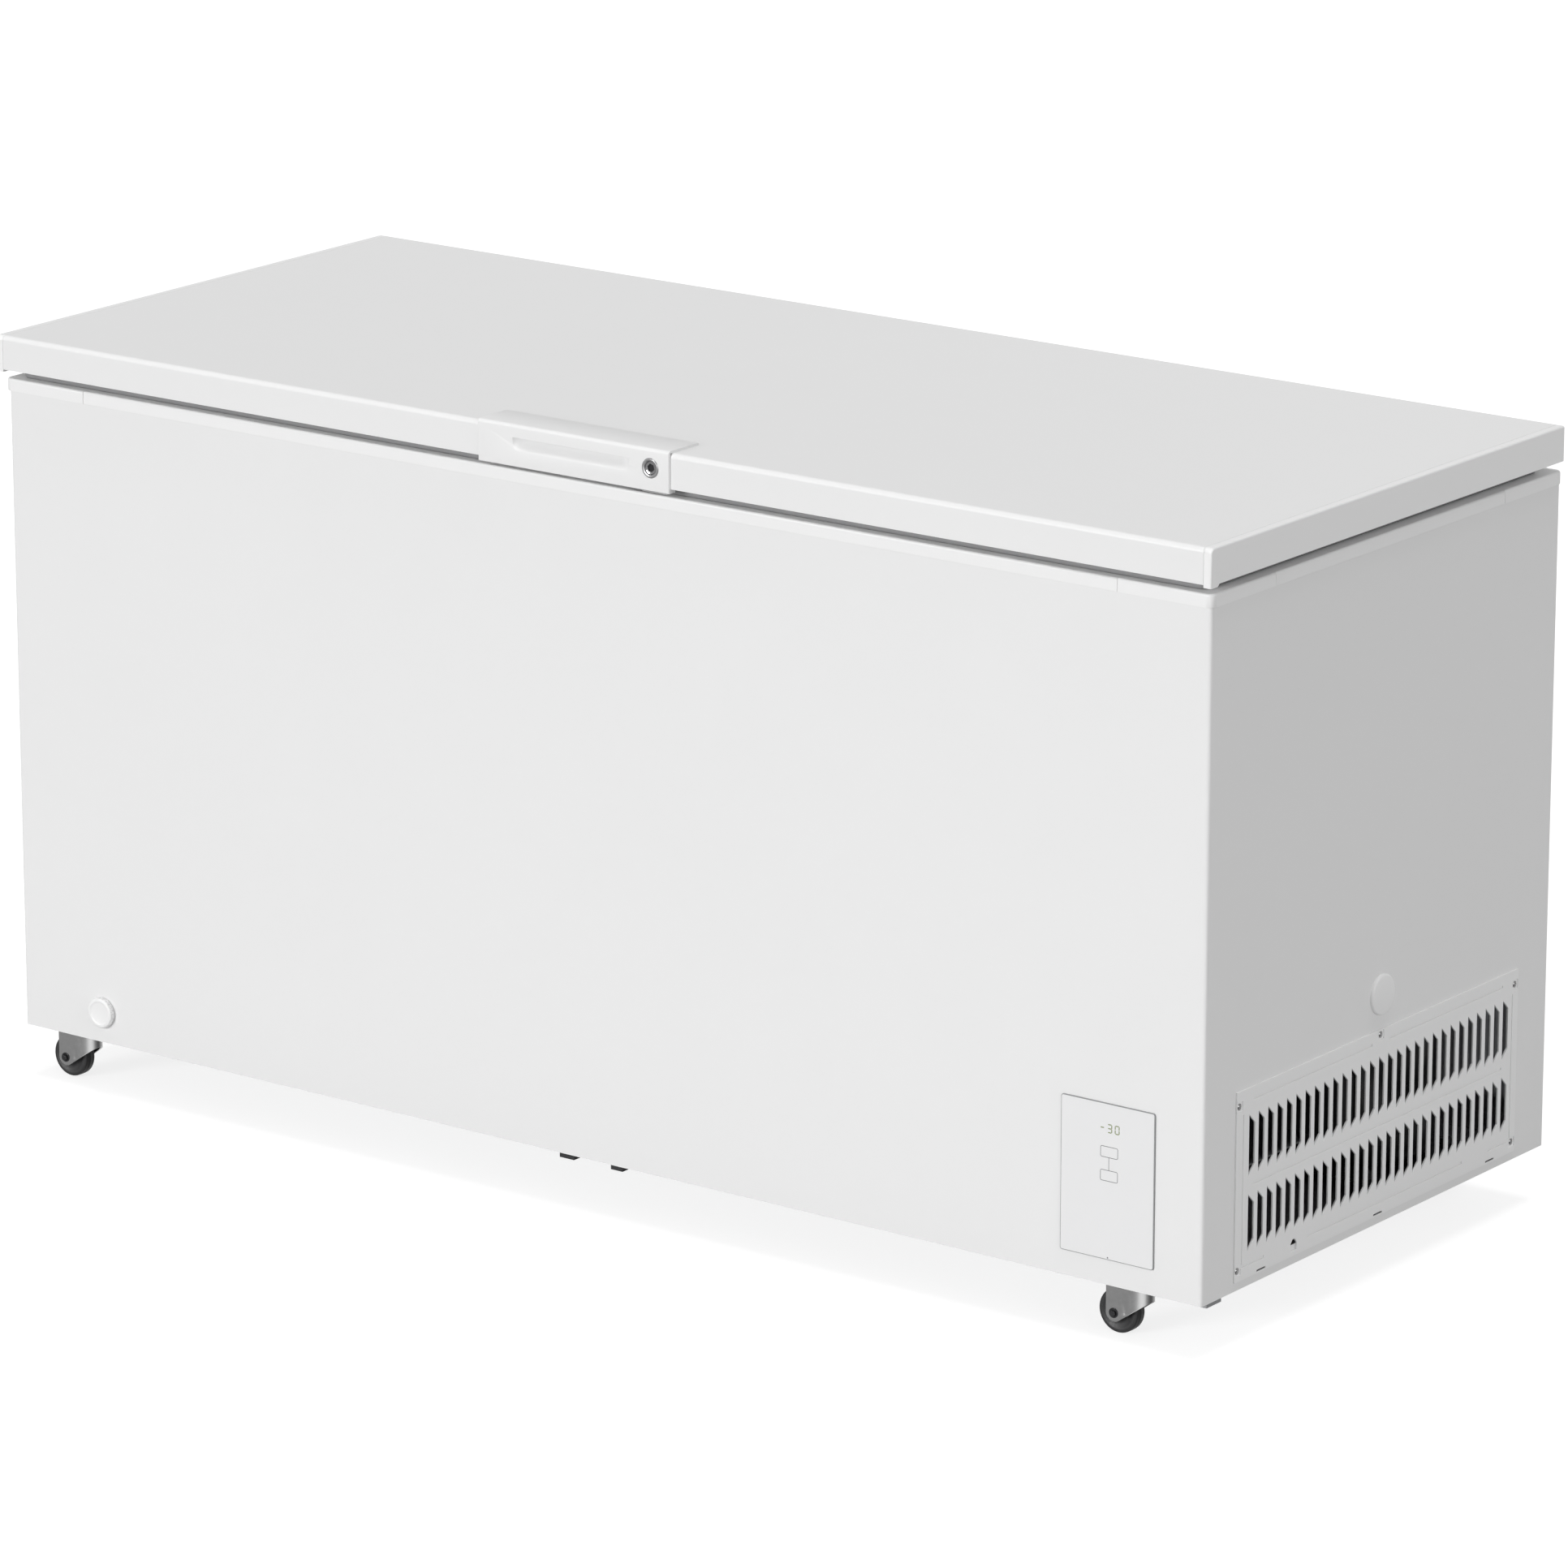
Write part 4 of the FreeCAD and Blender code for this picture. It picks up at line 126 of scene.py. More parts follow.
def makeGrain():
    # fine pebbling, from orange peel in enamel to the spark-eroded grain of a mould
    group, given, result = newGroup("fineGrain", [
        ("Scale", "NodeSocketFloat", 400.0), ("Coarse", "NodeSocketFloat", 0.3)], [("Height", "NodeSocketFloat")])
    given.location, result.location = (-800, 0), (300, 0)
    coords = place(group, "ShaderNodeTexCoord", -800, -250)
    fine = place(group, "ShaderNodeTexNoise", -500, 0)
    fine.inputs["Detail"].default_value = 3
    slower = place(group, "ShaderNodeMath", -650, -300, operation="MULTIPLY")
    slower.inputs[1].default_value = 0.22
    broad = place(group, "ShaderNodeTexNoise", -500, -300)
    blend = place(group, "ShaderNodeMix", 0, 0)
    link = group.links.new
    link(coords.outputs["Object"], fine.inputs["Vector"])
    link(coords.outputs["Object"], broad.inputs["Vector"])
    link(given.outputs["Scale"], fine.inputs["Scale"])
    link(given.outputs["Scale"], slower.inputs[0])
    link(slower.outputs[0], broad.inputs["Scale"])
    link(given.outputs["Coarse"], blend.inputs["Factor"])
    link(fine.outputs["Fac"], blend.inputs[2])
    link(broad.outputs["Fac"], blend.inputs[3])
    link(blend.outputs[0], result.inputs["Height"])
    return group


def makeStucco():
    # pebbled embossing of the inner sheet
    group, given, result = newGroup("stuccoEmboss", [("Scale", "NodeSocketFloat", 160.0)],
                                    [("Height", "NodeSocketFloat")])
    given.location, result.location = (-700, 0), (200, 0)
    coords = place(group, "ShaderNodeTexCoord", -700, -200)
    cells = place(group, "ShaderNodeTexVoronoi", -450, 0, feature="SMOOTH_F1")
    bumps = place(group, "ShaderNodeMapRange", -150, 0, interpolation_type="SMOOTHSTEP")
    bumps.inputs["From Max"].default_value = 0.6
    bumps.inputs["To Min"].default_value = 1
    bumps.inputs["To Max"].default_value = 0
    group.links.new(coords.outputs["Object"], cells.inputs["Vector"])
    group.links.new(given.outputs["Scale"], cells.inputs["Scale"])
    group.links.new(cells.outputs["Distance"], bumps.inputs["Value"])
    group.links.new(bumps.outputs["Result"], result.inputs["Height"])
    return group


def makeSpangle():
    # zinc crystals: patches of slightly different grey
    group, given, result = newGroup("zincSpangle", [
        ("Scale", "NodeSocketFloat", 70.0), ("Dark", "NodeSocketColor", (0.4, 0.4, 0.4, 1)),
        ("Light", "NodeSocketColor", (0.6, 0.6, 0.6, 1))], [("Color", "NodeSocketColor")])
    given.location, result.location = (-800, 0), (300, 0)
    coords = place(group, "ShaderNodeTexCoord", -800, -200)
    cells = place(group, "ShaderNodeTexVoronoi", -500, 0)
    grey = place(group, "ShaderNodeSeparateColor", -250, 0)
    mix = place(group, "ShaderNodeMix", 0, 0, data_type="RGBA")
    link = group.links.new
    link(coords.outputs["Object"], cells.inputs["Vector"])
    link(given.outputs["Scale"], cells.inputs["Scale"])
    link(cells.outputs["Color"], grey.inputs["Color"])
    link(grey.outputs["Red"], mix.inputs["Factor"])
    link(given.outputs["Dark"], mix.inputs[6])
    link(given.outputs["Light"], mix.inputs[7])
    link(mix.outputs[2], result.inputs["Color"])
    return group


def makeBrushed():
    # streaks along one axis, from rolling or drawing
    group, given, result = newGroup("drawnStreaks", [
        ("Scale", "NodeSocketFloat", 300.0), ("Stretch", "NodeSocketVector", (1.0, 1.0, 0.03))],
        [("Height", "NodeSocketFloat")])
    given.location, result.location = (-800, 0), (200, 0)
    coords = place(group, "ShaderNodeTexCoord", -800, -200)
    squeeze = place(group, "ShaderNodeVectorMath", -600, -100, operation="MULTIPLY")
    streaks = place(group, "ShaderNodeTexNoise", -350, 0)
    streaks.inputs["Detail"].default_value = 4
    group.links.new(coords.outputs["Object"], squeeze.inputs[0])
    group.links.new(given.outputs["Stretch"], squeeze.inputs[1])
    group.links.new(squeeze.outputs[0], streaks.inputs["Vector"])
    group.links.new(given.outputs["Scale"], streaks.inputs["Scale"])
    group.links.new(streaks.outputs["Fac"], result.inputs["Height"])
    return group


shadeVariation = makeShadeVariation()
fineGrain = makeGrain()
stuccoEmboss = makeStucco()
zincSpangle = makeSpangle()
drawnStreaks = makeBrushed()
print("shader groups made")


# finishes

def finish(name, color, rough, metallic=0.0, amount=0.03, scale=5.0, texture=None, depth=0.0,
           textureInputs=None, spangle=None, **uniform):
    # one Principled surface: clouded colour and roughness, and a bump from one texture group
    material = bpy.data.materials.new(name)
    material.use_nodes = True
    tree = material.node_tree
    surface = tree.nodes["Principled BSDF"]
    surface.inputs["Metallic"].default_value = metallic
    for socket, value in uniform.items():
        surface.inputs[socket.replace("_", " ")].default_value = value
    clouds = place(tree, "ShaderNodeGroup", -500, 200, node_tree=shadeVariation)
    clouds.inputs["Color"].default_value = (*color, 1)
    clouds.inputs["Amount"].default_value = amount
    clouds.inputs["Scale"].default_value = scale
    clouds.inputs["RoughLow"].default_value = rough[0]
    clouds.inputs["RoughHigh"].default_value = rough[1]
    tree.links.new(clouds.outputs["Color"], surface.inputs["Base Color"])
    tree.links.new(clouds.outputs["Roughness"], surface.inputs["Roughness"])
    if spangle:
        crystals = place(tree, "ShaderNodeGroup", -800, 200, node_tree=zincSpangle)
        crystals.inputs["Scale"].default_value = spangle
        crystals.inputs["Dark"].default_value = (*[part * 0.86 for part in color], 1)
        crystals.inputs["Light"].default_value = (*color, 1)
        tree.links.new(crystals.outputs["Color"], clouds.inputs["Color"])
    if texture:
        relief = place(tree, "ShaderNodeGroup", -700, -250, node_tree=texture)
        for socket, value in (textureInputs or {}).items():
            relief.inputs[socket].default_value = value
        bump = place(tree, "ShaderNodeBump", -300, -250)
        bump.inputs["Distance"].default_value = depth
        bump.inputs["Strength"].default_value = 1.0
        tree.links.new(relief.outputs["Height"], bump.inputs["Height"])
        tree.links.new(bump.outputs["Normal"], surface.inputs["Normal"])
    return material


# the handle's entry is the collar's white plastic made darker: painted shade that tones down the brightly lit handle
# front
whites = {"enamel": (0.83, 0.83, 0.83), "plastic": (0.865, 0.865, 0.865), "lidPlastic": (0.83, 0.83, 0.83),
          "handleShaded": (0.825, 0.825, 0.825)}

enamel = finish("white_enamel", whites["enamel"], (0.30, 0.36), amount=0.012, scale=2.5, texture=fineGrain,
                depth=0.00004, textureInputs={"Scale": 420, "Coarse": 0.5}, Coat_Weight=0.25, Coat_Roughness=0.12)
whitePlastic = finish("white_moulded_plastic", whites["plastic"], (0.36, 0.44), amount=0.012, scale=4,
                      texture=fineGrain, depth=0.00003, textureInputs={"Scale": 900, "Coarse": 0.2})
# same white plastic as the collar, darkened as painted shade for the handle
handleShadedPlastic = finish("white_plastic_painted_shade", whites["handleShaded"], (0.36, 0.44), amount=0.012, scale=4,
                     texture=fineGrain, depth=0.00003, textureInputs={"Scale": 900, "Coarse": 0.2})
innerPlastic = finish("white_inner_plastic", whites["lidPlastic"], (0.4, 0.5), amount=0.03, scale=6,
                      texture=stuccoEmboss, depth=0.0003, textureInputs={"Scale": 110})
stuccoSheet = finish("stucco_aluminium", (0.78, 0.79, 0.80), (0.30, 0.42), metallic=0.9, amount=0.06, scale=4,
                     texture=stuccoEmboss, depth=0.0006, textureInputs={"Scale": 140})
galvanised = finish("galvanised_sheet", (0.50, 0.51, 0.52), (0.38, 0.52), metallic=0.9, amount=0.05, scale=8,
                    spangle=60, texture=fineGrain, depth=0.00005, textureInputs={"Scale": 300, "Coarse": 0.4})
zincPlate = finish("bright_zinc_plate", (0.72, 0.72, 0.72), (0.14, 0.22), metallic=1.0, amount=0.10, scale=60,
                   texture=drawnStreaks, depth=0.00003, textureInputs={"Scale": 700, "Stretch": (0.05, 0.05, 1)})
satinChrome = finish("satin_chrome", (0.46, 0.46, 0.465), (0.30, 0.42), metallic=1.0, amount=0.08, scale=60,
                     texture=drawnStreaks, depth=0.00002, textureInputs={"Scale": 900})
blackedSteel = finish("blacked_steel", (0.055, 0.055, 0.058), (0.3, 0.45), metallic=0.8, amount=0.2, scale=80,
                      texture=fineGrain, depth=0.00004, textureInputs={"Scale": 900, "Coarse": 0.4})
chromePlate = finish("polished_chrome", (0.66, 0.66, 0.67), (0.12, 0.2), metallic=1.0, amount=0.05, scale=80,
                     texture=drawnStreaks, depth=0.00001, textureInputs={"Scale": 900})
blackPlastic = finish("black_moulded_plastic", (0.022, 0.022, 0.024), (0.42, 0.55), amount=0.2, scale=30,
                      texture=fineGrain, depth=0.00006, textureInputs={"Scale": 1200, "Coarse": 0.2})
darkTrim = finish("dark_grey_trim", (0.30, 0.305, 0.31), (0.35, 0.45), amount=0.1, scale=20,
                  texture=fineGrain, depth=0.00002, textureInputs={"Scale": 900, "Coarse": 0.2})
panelGloss = finish("white_gloss_panel", (0.845, 0.845, 0.85), (0.04, 0.07), amount=0.02, scale=9,
                    texture=fineGrain, depth=0.000004, textureInputs={"Scale": 30, "Coarse": 0.8},
                    Coat_Weight=1.0, Coat_Roughness=0.03)
printGrey = finish("grey_panel_print", (0.12, 0.12, 0.13), (0.45, 0.55), amount=0.08, scale=300,
                   texture=fineGrain, depth=0.00001, textureInputs={"Scale": 2500, "Coarse": 0.2})
gasketRubber = finish("soft_gasket_rubber", (0.27, 0.27, 0.275), (0.5, 0.62), amount=0.10, scale=14,
                      texture=fineGrain, depth=0.00008, textureInputs={"Scale": 700, "Coarse": 0.4})
tyreRubber = finish("hard_wheel_rubber", (0.030, 0.030, 0.031), (0.42, 0.56), amount=0.30, scale=90,
                    texture=fineGrain, depth=0.00008, textureInputs={"Scale": 1400, "Coarse": 0.4})
greyRubber = finish("grey_foot_rubber", (0.10, 0.10, 0.10), (0.55, 0.7), amount=0.2, scale=60,
                    texture=fineGrain, depth=0.0001, textureInputs={"Scale": 800, "Coarse": 0.4})
stovedBlack = finish("stoved_black_paint", (0.012, 0.012, 0.013), (0.25, 0.38), amount=0.25, scale=25,
                     texture=fineGrain, depth=0.00008, textureInputs={"Scale": 260, "Coarse": 0.6}, Coat_Weight=0.3)
copperTube = finish("drawn_copper", (0.72, 0.36, 0.22), (0.22, 0.38), metallic=1.0, amount=0.25, scale=40,
                    texture=drawnStreaks, depth=0.00004, textureInputs={"Scale": 600})
drawnAluminium = finish("drawn_aluminium", (0.62, 0.63, 0.64), (0.3, 0.42), metallic=1.0, amount=0.08, scale=30,
                        texture=drawnStreaks, depth=0.00003, textureInputs={"Scale": 600})
circuitBoard = finish("lacquered_circuit_board", (0.02, 0.16, 0.07), (0.25, 0.35), amount=0.3, scale=200,
                      texture=fineGrain, depth=0.00008, textureInputs={"Scale": 700, "Coarse": 0.5}, Coat_Weight=0.5)
closedFoam = finish("closed_cell_foam", (0.74, 0.66, 0.44), (0.75, 0.9), amount=0.2, scale=25,
                    texture=stuccoEmboss, depth=0.0008, textureInputs={"Scale": 320})
dippedWire = finish("white_dipped_wire", (0.80, 0.80, 0.80), (0.28, 0.38), amount=0.04, scale=40,
                    texture=fineGrain, depth=0.00006, textureInputs={"Scale": 300, "Coarse": 0.6}, Coat_Weight=0.3)
lampDiffuser = finish("frosted_lamp_diffuser", (0.86, 0.86, 0.82), (0.4, 0.5), amount=0.04, scale=20,
                      texture=drawnStreaks, depth=0.0004, textureInputs={"Scale": 500, "Stretch": (1, 0.02, 0.02)},
                      Subsurface_Weight=0.3, Subsurface_Radius=(0.004, 0.004, 0.004))


def makeDisplayLight():
    # the lit segments of the display
    material = bpy.data.materials.new("display_segments")
    material.use_nodes = True
    tree = material.node_tree
    surface = tree.nodes["Principled BSDF"]
    surface.inputs["Base Color"].default_value = (0.20, 0.23, 0.12, 1)
    surface.inputs["Emission Strength"].default_value = 0.10
    surface.inputs["Emission Color"].default_value = (0.62, 0.74, 0.30, 1)
    clouds = place(tree, "ShaderNodeGroup", -500, 200, node_tree=shadeVariation)
    clouds.inputs["Color"].default_value = (0.20, 0.23, 0.12, 1)
    clouds.inputs["Amount"].default_value = 0.15
    clouds.inputs["Scale"].default_value = 300
    tree.links.new(clouds.outputs["Color"], surface.inputs["Base Color"])
    tree.links.new(clouds.outputs["Roughness"], surface.inputs["Roughness"])
    return material


displayLight = makeDisplayLight()

nodeFinishes = {
    enamel: ["outer_wrapper", "lid_skin"],
    whitePlastic: ["collar_front", "collar_back", "collar_sides", "collar_corners", "lid_cap_left",
                   "lid_cap_right", "side_grille", "side_cap", "drain_plug", "drain_tube"],
    handleShadedPlastic: ["handle"],
    innerPlastic: ["lid_liner"],
    stuccoSheet: ["inner_liner"],
    galvanised: ["back_panel", "bottom_panel", "compartment_panel", "compressor_tray", "rear_cover"],
    zincPlate: ["hinge_bases", "hinge_arms", "hinge_pins", "hinge_springs", "hinge_screws", "caster_plates",
                "cover_screws", "condenser_coil"] + ["caster_fork_" + corner for corner in corners],
    chromePlate: ["lock_ring", "lock_cylinder"],
    blackPlastic: ["striker_box", "control_housing", "display_module", "base_clips", "relay_cover",
                   "cord_gland", "lock_housing"],
    darkTrim: ["control_bezel"],
    panelGloss: ["control_glass"],
    gasketRubber: ["lid_gasket"],
    tyreRubber: ["caster_wheel_" + corner for corner in corners],
    greyRubber: ["compressor_feet", "drain_stopper"],
    stovedBlack: ["compressor"],
    copperTube: ["refrigerant_pipes", "filter_drier"],
    drawnAluminium: ["evaporator_coil"],
    circuitBoard: ["control_board"],
    closedFoam: ["cabinet_foam", "lid_foam"],
    dippedWire: ["basket"],
    lampDiffuser: ["lamp_lens"],
}
for material, names in nodeFinishes.items():
    for name in names:
        mesh = nodes[name].data
        mesh.materials.clear()
        mesh.materials.append(material)
unfinished = set(nodes) - {name for names in nodeFinishes.values() for name in names}
if unfinished:
    raise RuntimeError(f"no finish for {sorted(unfinished)}")


def soften(name, width, segments=2, angle=35):
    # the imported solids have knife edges; a moulded or pressed one doesn't
    node = nodes[name]
    weld = node.modifiers.new("weld", "WELD")
    weld.merge_threshold = 0.00001
    edge = node.modifiers.new("softEdges", "BEVEL")
    edge.width = width
    edge.segments = segments
    edge.limit_method = "ANGLE"
    edge.angle_limit = math.radians(angle)
    edge.use_clamp_overlap = True
    edge.harden_normals = True


softEdges = {
    "side_grille": 0.25, "collar_front": 0.25, "collar_back": 0.25, "collar_sides": 0.25,
    "collar_corners": 0.25, "lid_cap_left": 0.5, "lid_cap_right": 0.5, "control_glass": 0.25,
    "hinge_bases": 0.6, "hinge_arms": 0.6, "relay_cover": 2.0, "base_clips": 0.8, "compressor_tray": 0.4,
    "caster_plates": 0.6, "drain_stopper": 0.8, "lid_liner": 1.0, "lamp_lens": 1.0,
    "rear_cover": 0.3,
}
for name, width in softEdges.items():
    soften(name, width * mm)
print("finishes on every packed solid")


# mesh makers

def toObject(name, mesh, material, body, replaced=()):
    piece = bpy.data.objects.new(name, mesh)
    bpy.context.scene.collection.objects.link(piece)
    mesh.materials.clear()
    mesh.materials.append(material)
    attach(piece, body)
    if replaced:
        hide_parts(*replaced)
    return piece


def toMesh(name, bm, sharpAngle=35):
    bmesh.ops.recalc_face_normals(bm, faces=bm.faces)
    mesh = bpy.data.meshes.new(name)
    bm.to_mesh(mesh)
    bm.free()
    mesh.polygons.foreach_set("use_smooth", [True] * len(mesh.polygons))
    mesh.set_sharp_from_angle(angle=math.radians(sharpAngle))
    return mesh


def piece(name, bm, material, body, slotName, replaced=(), sharpAngle=35):
    return toObject(name, toMesh(name, bm, sharpAngle), material, body, replaced)


def bevelled(target, width, segments=2, angle=35):
    edge = target.modifiers.new("softEdges", "BEVEL")
    edge.width = width
    edge.segments = segments
    edge.limit_method = "ANGLE"
    edge.angle_limit = math.radians(angle)
    edge.harden_normals = True
    return target


def addBox(bm, low, high):
    low, high = Vector(low), Vector(high)
    made = bmesh.ops.create_cube(bm, size=1)
    for vert in made["verts"]:
        vert.co = Vector(low[i] + (vert.co[i] + 0.5) * (high[i] - low[i]) for i in range(3))


def axisFrame(axis):
    axis = Vector(axis).normalized()
    side = axis.orthogonal().normalized()
    return side, axis.cross(side), axis


def addLathe(bm, profile, centre, axis, segments=48):
    # profile: (radius, height along the axis), a closed outline or one that ends on the axis
    side, up, ahead = axisFrame(axis)
    centre = Vector(centre)
    rings = []
    for radius, height in profile:
        if radius < 1e-7:
            rings.append([bm.verts.new(centre + ahead * height)])
            continue
        rings.append([bm.verts.new(centre + ahead * height
                                   + (side * math.cos(turn) + up * math.sin(turn)) * radius)
                      for turn in (2 * math.pi * step / segments for step in range(segments))])
    for first, second in zip(rings, rings[1:]):
        for step in range(segments):
            after = (step + 1) % segments
            loop = [first[step % len(first)], first[after % len(first)],
                    second[after % len(second)], second[step % len(second)]]
            distinct = list(dict.fromkeys(loop))
            if len(distinct) > 2:
                bm.faces.new(distinct)


def bend(points, radius, steps=6):
    # rounds the corners of a run of points
    path = [Vector(points[0])]
    for before, corner, after in zip(points, points[1:], points[2:]):
        before, corner, after = Vector(before), Vector(corner), Vector(after)
        back, ahead = (before - corner), (after - corner)
        reach = min(radius, back.length * 0.45, ahead.length * 0.45)
        start, end = corner + back.normalized() * reach, corner + ahead.normalized() * reach
        for step in range(steps + 1):
            t = step / steps
            path.append(start * (1 - t) ** 2 + corner * 2 * t * (1 - t) + end * t ** 2)
    path.append(Vector(points[-1]))
    return path


def addTube(bm, path, radius, segments=10, closed=False):
    # a round wire or tube along a path, capped when open
    count = len(path)
    side = None
    rings = []
    for index, point in enumerate(path):
        before = path[index - 1] if closed or index else path[0]
        after = path[(index + 1) % count] if closed or index < count - 1 else path[-1]
        ahead = (after - before).normalized()
        if side is None:
            side = ahead.orthogonal().normalized()
        side = (side - ahead * side.dot(ahead)).normalized()
        up = ahead.cross(side)
        rings.append([bm.verts.new(point + (side * math.cos(turn) + up * math.sin(turn)) * radius)
                      for turn in (2 * math.pi * step / segments for step in range(segments))])
    pairs = list(zip(rings, rings[1:]))
    if closed:
        pairs.append((rings[-1], rings[0]))
    for first, second in pairs:
        for step in range(segments):
            after = (step + 1) % segments
            bm.faces.new([first[step], first[after], second[after], second[step]])
    if not closed:
        bm.faces.new(rings[0][::-1])
        bm.faces.new(rings[-1])


def roundedLoop(left, front, right, back, radius, steps=8):
    # points and outward directions round a rectangle with round corners
    spots = []
    for cx, cy, start in ((right - radius, front + radius, -90), (right - radius, back - radius, 0),
                          (left + radius, back - radius, 90), (left + radius, front + radius, 180)):
        for step in range(steps + 1):
            turn = math.radians(start + 90 * step / steps)
            outward = Vector((math.cos(turn), math.sin(turn)))
            spots.append((Vector((cx, cy)) + outward * radius, outward))
    return spots


def carve(baseBm, toolBm, name):
    # cuts one mesh out of another and gives the result as a mesh
    base = bpy.data.objects.new(name + "_base", toMesh(name, baseBm))
    tool = bpy.data.objects.new(name + "_tool", toMesh(name + "_tool", toolBm))
    for thing in (base, tool):
        bpy.context.scene.collection.objects.link(thing)
    cutter = base.modifiers.new("carve", "BOOLEAN")
    cutter.object = tool
    cutter.solver = "EXACT"
    cutter.use_self = True
    graph = bpy.context.evaluated_depsgraph_get()
    mesh = bpy.data.meshes.new_from_object(base.evaluated_get(graph))
    for thing in (base, tool):
        bpy.data.objects.remove(thing)
    mesh.name = name
    mesh.polygons.foreach_set("use_smooth", [True] * len(mesh.polygons))
    mesh.set_sharp_from_angle(angle=math.radians(30))
    return mesh


# camera, floor and light

cameraSetup = {"place": (5.2880, -7.02085, 2.9017), "around": 36.870, "above": 15.800, "lens": 186.1}
cameraData = bpy.data.cameras.new("camera")
cameraData.lens = cameraSetup["lens"]
cameraData.sensor_width = 36
cameraData.clip_end = 200
camera = bpy.data.objects.new("camera", cameraData)
camera.location = cameraSetup["place"]
camera.rotation_euler = (math.radians(90 - cameraSetup["above"]), 0, math.radians(cameraSetup["around"]))
bpy.context.scene.collection.objects.link(camera)
bpy.context.scene.camera = camera
bpy.context.scene.view_settings.view_transform = "Standard"

studio = {
    "frontSun": ((-0.30, -0.95, 0.21), 1.90, 24), "topSun": ((0.05, 0.05, 0.99), 1.12, 26),
    "fillSun": ((0.95, -0.15, 0.34), 0.70, 45), "ambient": 0.34,
    # brightness that metal sees round the room, by bearing from the front towards the right
    "aroundBands": ((-180, 0.60), (-143, 0.85), (-100, 0.25), (-37, 0.33), (-8, 0.27), (10, 0.50), (23, 1.0),
                    (46, 0.95), (62, 0.34), (85, 0.13), (117, 0.06), (150, 0.45), (180, 0.60)),
    "floorSize": 60, "floorShade": 0.40, "floorBounce": 0.50, "floorGlow": 0.78,
}


def addSun(name, towards, strength, spread):
    light = bpy.data.lights.new(name, "SUN")
    light.energy = strength
    light.angle = math.radians(spread)
    lamp = bpy.data.objects.new(name, light)
    lamp.rotation_euler = Vector(towards).to_track_quat("Z", "Y").to_euler()
    bpy.context.scene.collection.objects.link(lamp)


for name in ("frontSun", "topSun", "fillSun"):
    addSun(name, *studio[name])


def makeRoom():
    # even light for the matt surfaces, soft bands for metal to mirror, white for the camera
    room = bpy.data.worlds.new("room")
    room.use_nodes = True
    tree = room.node_tree
    tree.nodes.clear()
    link = tree.links.new
    coords = place(tree, "ShaderNodeTexCoord", -1200, 0)
    parts = place(tree, "ShaderNodeSeparateXYZ", -1000, 0)
    flip = place(tree, "ShaderNodeMath", -800, -150, operation="MULTIPLY")
    flip.inputs[1].default_value = -1
    bearing = place(tree, "ShaderNodeMath", -600, 0, operation="ARCTAN2")
    share = place(tree, "ShaderNodeMath", -400, 0, operation="MULTIPLY_ADD")
    share.inputs[1].default_value = 1 / (2 * math.pi)
    share.inputs[2].default_value = 0.5
    bands = place(tree, "ShaderNodeValToRGB", -200, 0)
    bands.color_ramp.interpolation = "B_SPLINE"
    steps = bands.color_ramp.elements
    while len(steps) < len(studio["aroundBands"]):
        steps.new(0.5)
    for step, (degrees, level) in zip(steps, studio["aroundBands"]):
        step.position = degrees / 360 + 0.5
        step.color = (level, level, level, 1)
    rays = place(tree, "ShaderNodeLightPath", -200, 300)
    plainOrBands = place(tree, "ShaderNodeMix", 100, 0, data_type="RGBA")
    plainOrBands.inputs[6].default_value = (*[studio["ambient"]] * 3, 1)
    whiteForCamera = place(tree, "ShaderNodeMix", 300, 0, data_type="RGBA")
    whiteForCamera.inputs[7].default_value = (1, 1, 1, 1)
    glow = place(tree, "ShaderNodeBackground", 500, 0)
    output = place(tree, "ShaderNodeOutputWorld", 700, 0)
    link(coords.outputs["Generated"], parts.inputs[0])
    link(parts.outputs["Y"], flip.inputs[0])
    link(parts.outputs["X"], bearing.inputs[0])
    link(flip.outputs[0], bearing.inputs[1])
    link(bearing.outputs[0], share.inputs[0])
    link(share.outputs[0], bands.inputs["Fac"])
    link(rays.outputs["Is Glossy Ray"], plainOrBands.inputs["Factor"])
    link(bands.outputs["Color"], plainOrBands.inputs[7])
    link(rays.outputs["Is Camera Ray"], whiteForCamera.inputs["Factor"])
    link(plainOrBands.outputs[2], whiteForCamera.inputs[6])
    link(whiteForCamera.outputs[2], glow.inputs["Color"])
    link(glow.outputs[0], output.inputs["Surface"])
    bpy.context.scene.world = room


def makeFloor():
    bm = bmesh.new()
    half = studio["floorSize"] / 2
    bm.faces.new([bm.verts.new((x, y, 0)) for x, y in ((-half, -half), (half, -half), (half, half), (-half, half))])
    mesh = bpy.data.meshes.new("floor")
    bm.to_mesh(mesh)
    bm.free()
    floor = bpy.data.objects.new("floor", mesh)
    bpy.context.scene.collection.objects.link(floor)
    material = bpy.data.materials.new("pale_floor")
    material.use_nodes = True
    tree = material.node_tree
    surface = tree.nodes["Principled BSDF"]
    surface.inputs["Roughness"].default_value = 0.9
    surface.inputs["Specular IOR Level"].default_value = 0.1
    surface.inputs["Emission Color"].default_value = (1, 1, 1, 1)
    rays = place(tree, "ShaderNodeLightPath", -800, 0)
    shade = place(tree, "ShaderNodeMix", -500, 100, data_type="RGBA")
    shade.inputs[6].default_value = (*[studio["floorBounce"]] * 3, 1)
    shade.inputs[7].default_value = (*[studio["floorShade"]] * 3, 1)
    glow = place(tree, "ShaderNodeMath", -500, -200, operation="MULTIPLY")
    glow.inputs[1].default_value = studio["floorGlow"]
    tree.links.new(rays.outputs["Is Camera Ray"], shade.inputs["Factor"])
    tree.links.new(rays.outputs["Is Camera Ray"], glow.inputs[0])
    tree.links.new(shade.outputs[2], surface.inputs["Base Color"])
    tree.links.new(glow.outputs[0], surface.inputs["Emission Strength"])
    mesh.materials.append(material)
    floor.visible_glossy = False


makeRoom()
makeFloor()
print("camera, floor and light ready")


# casters

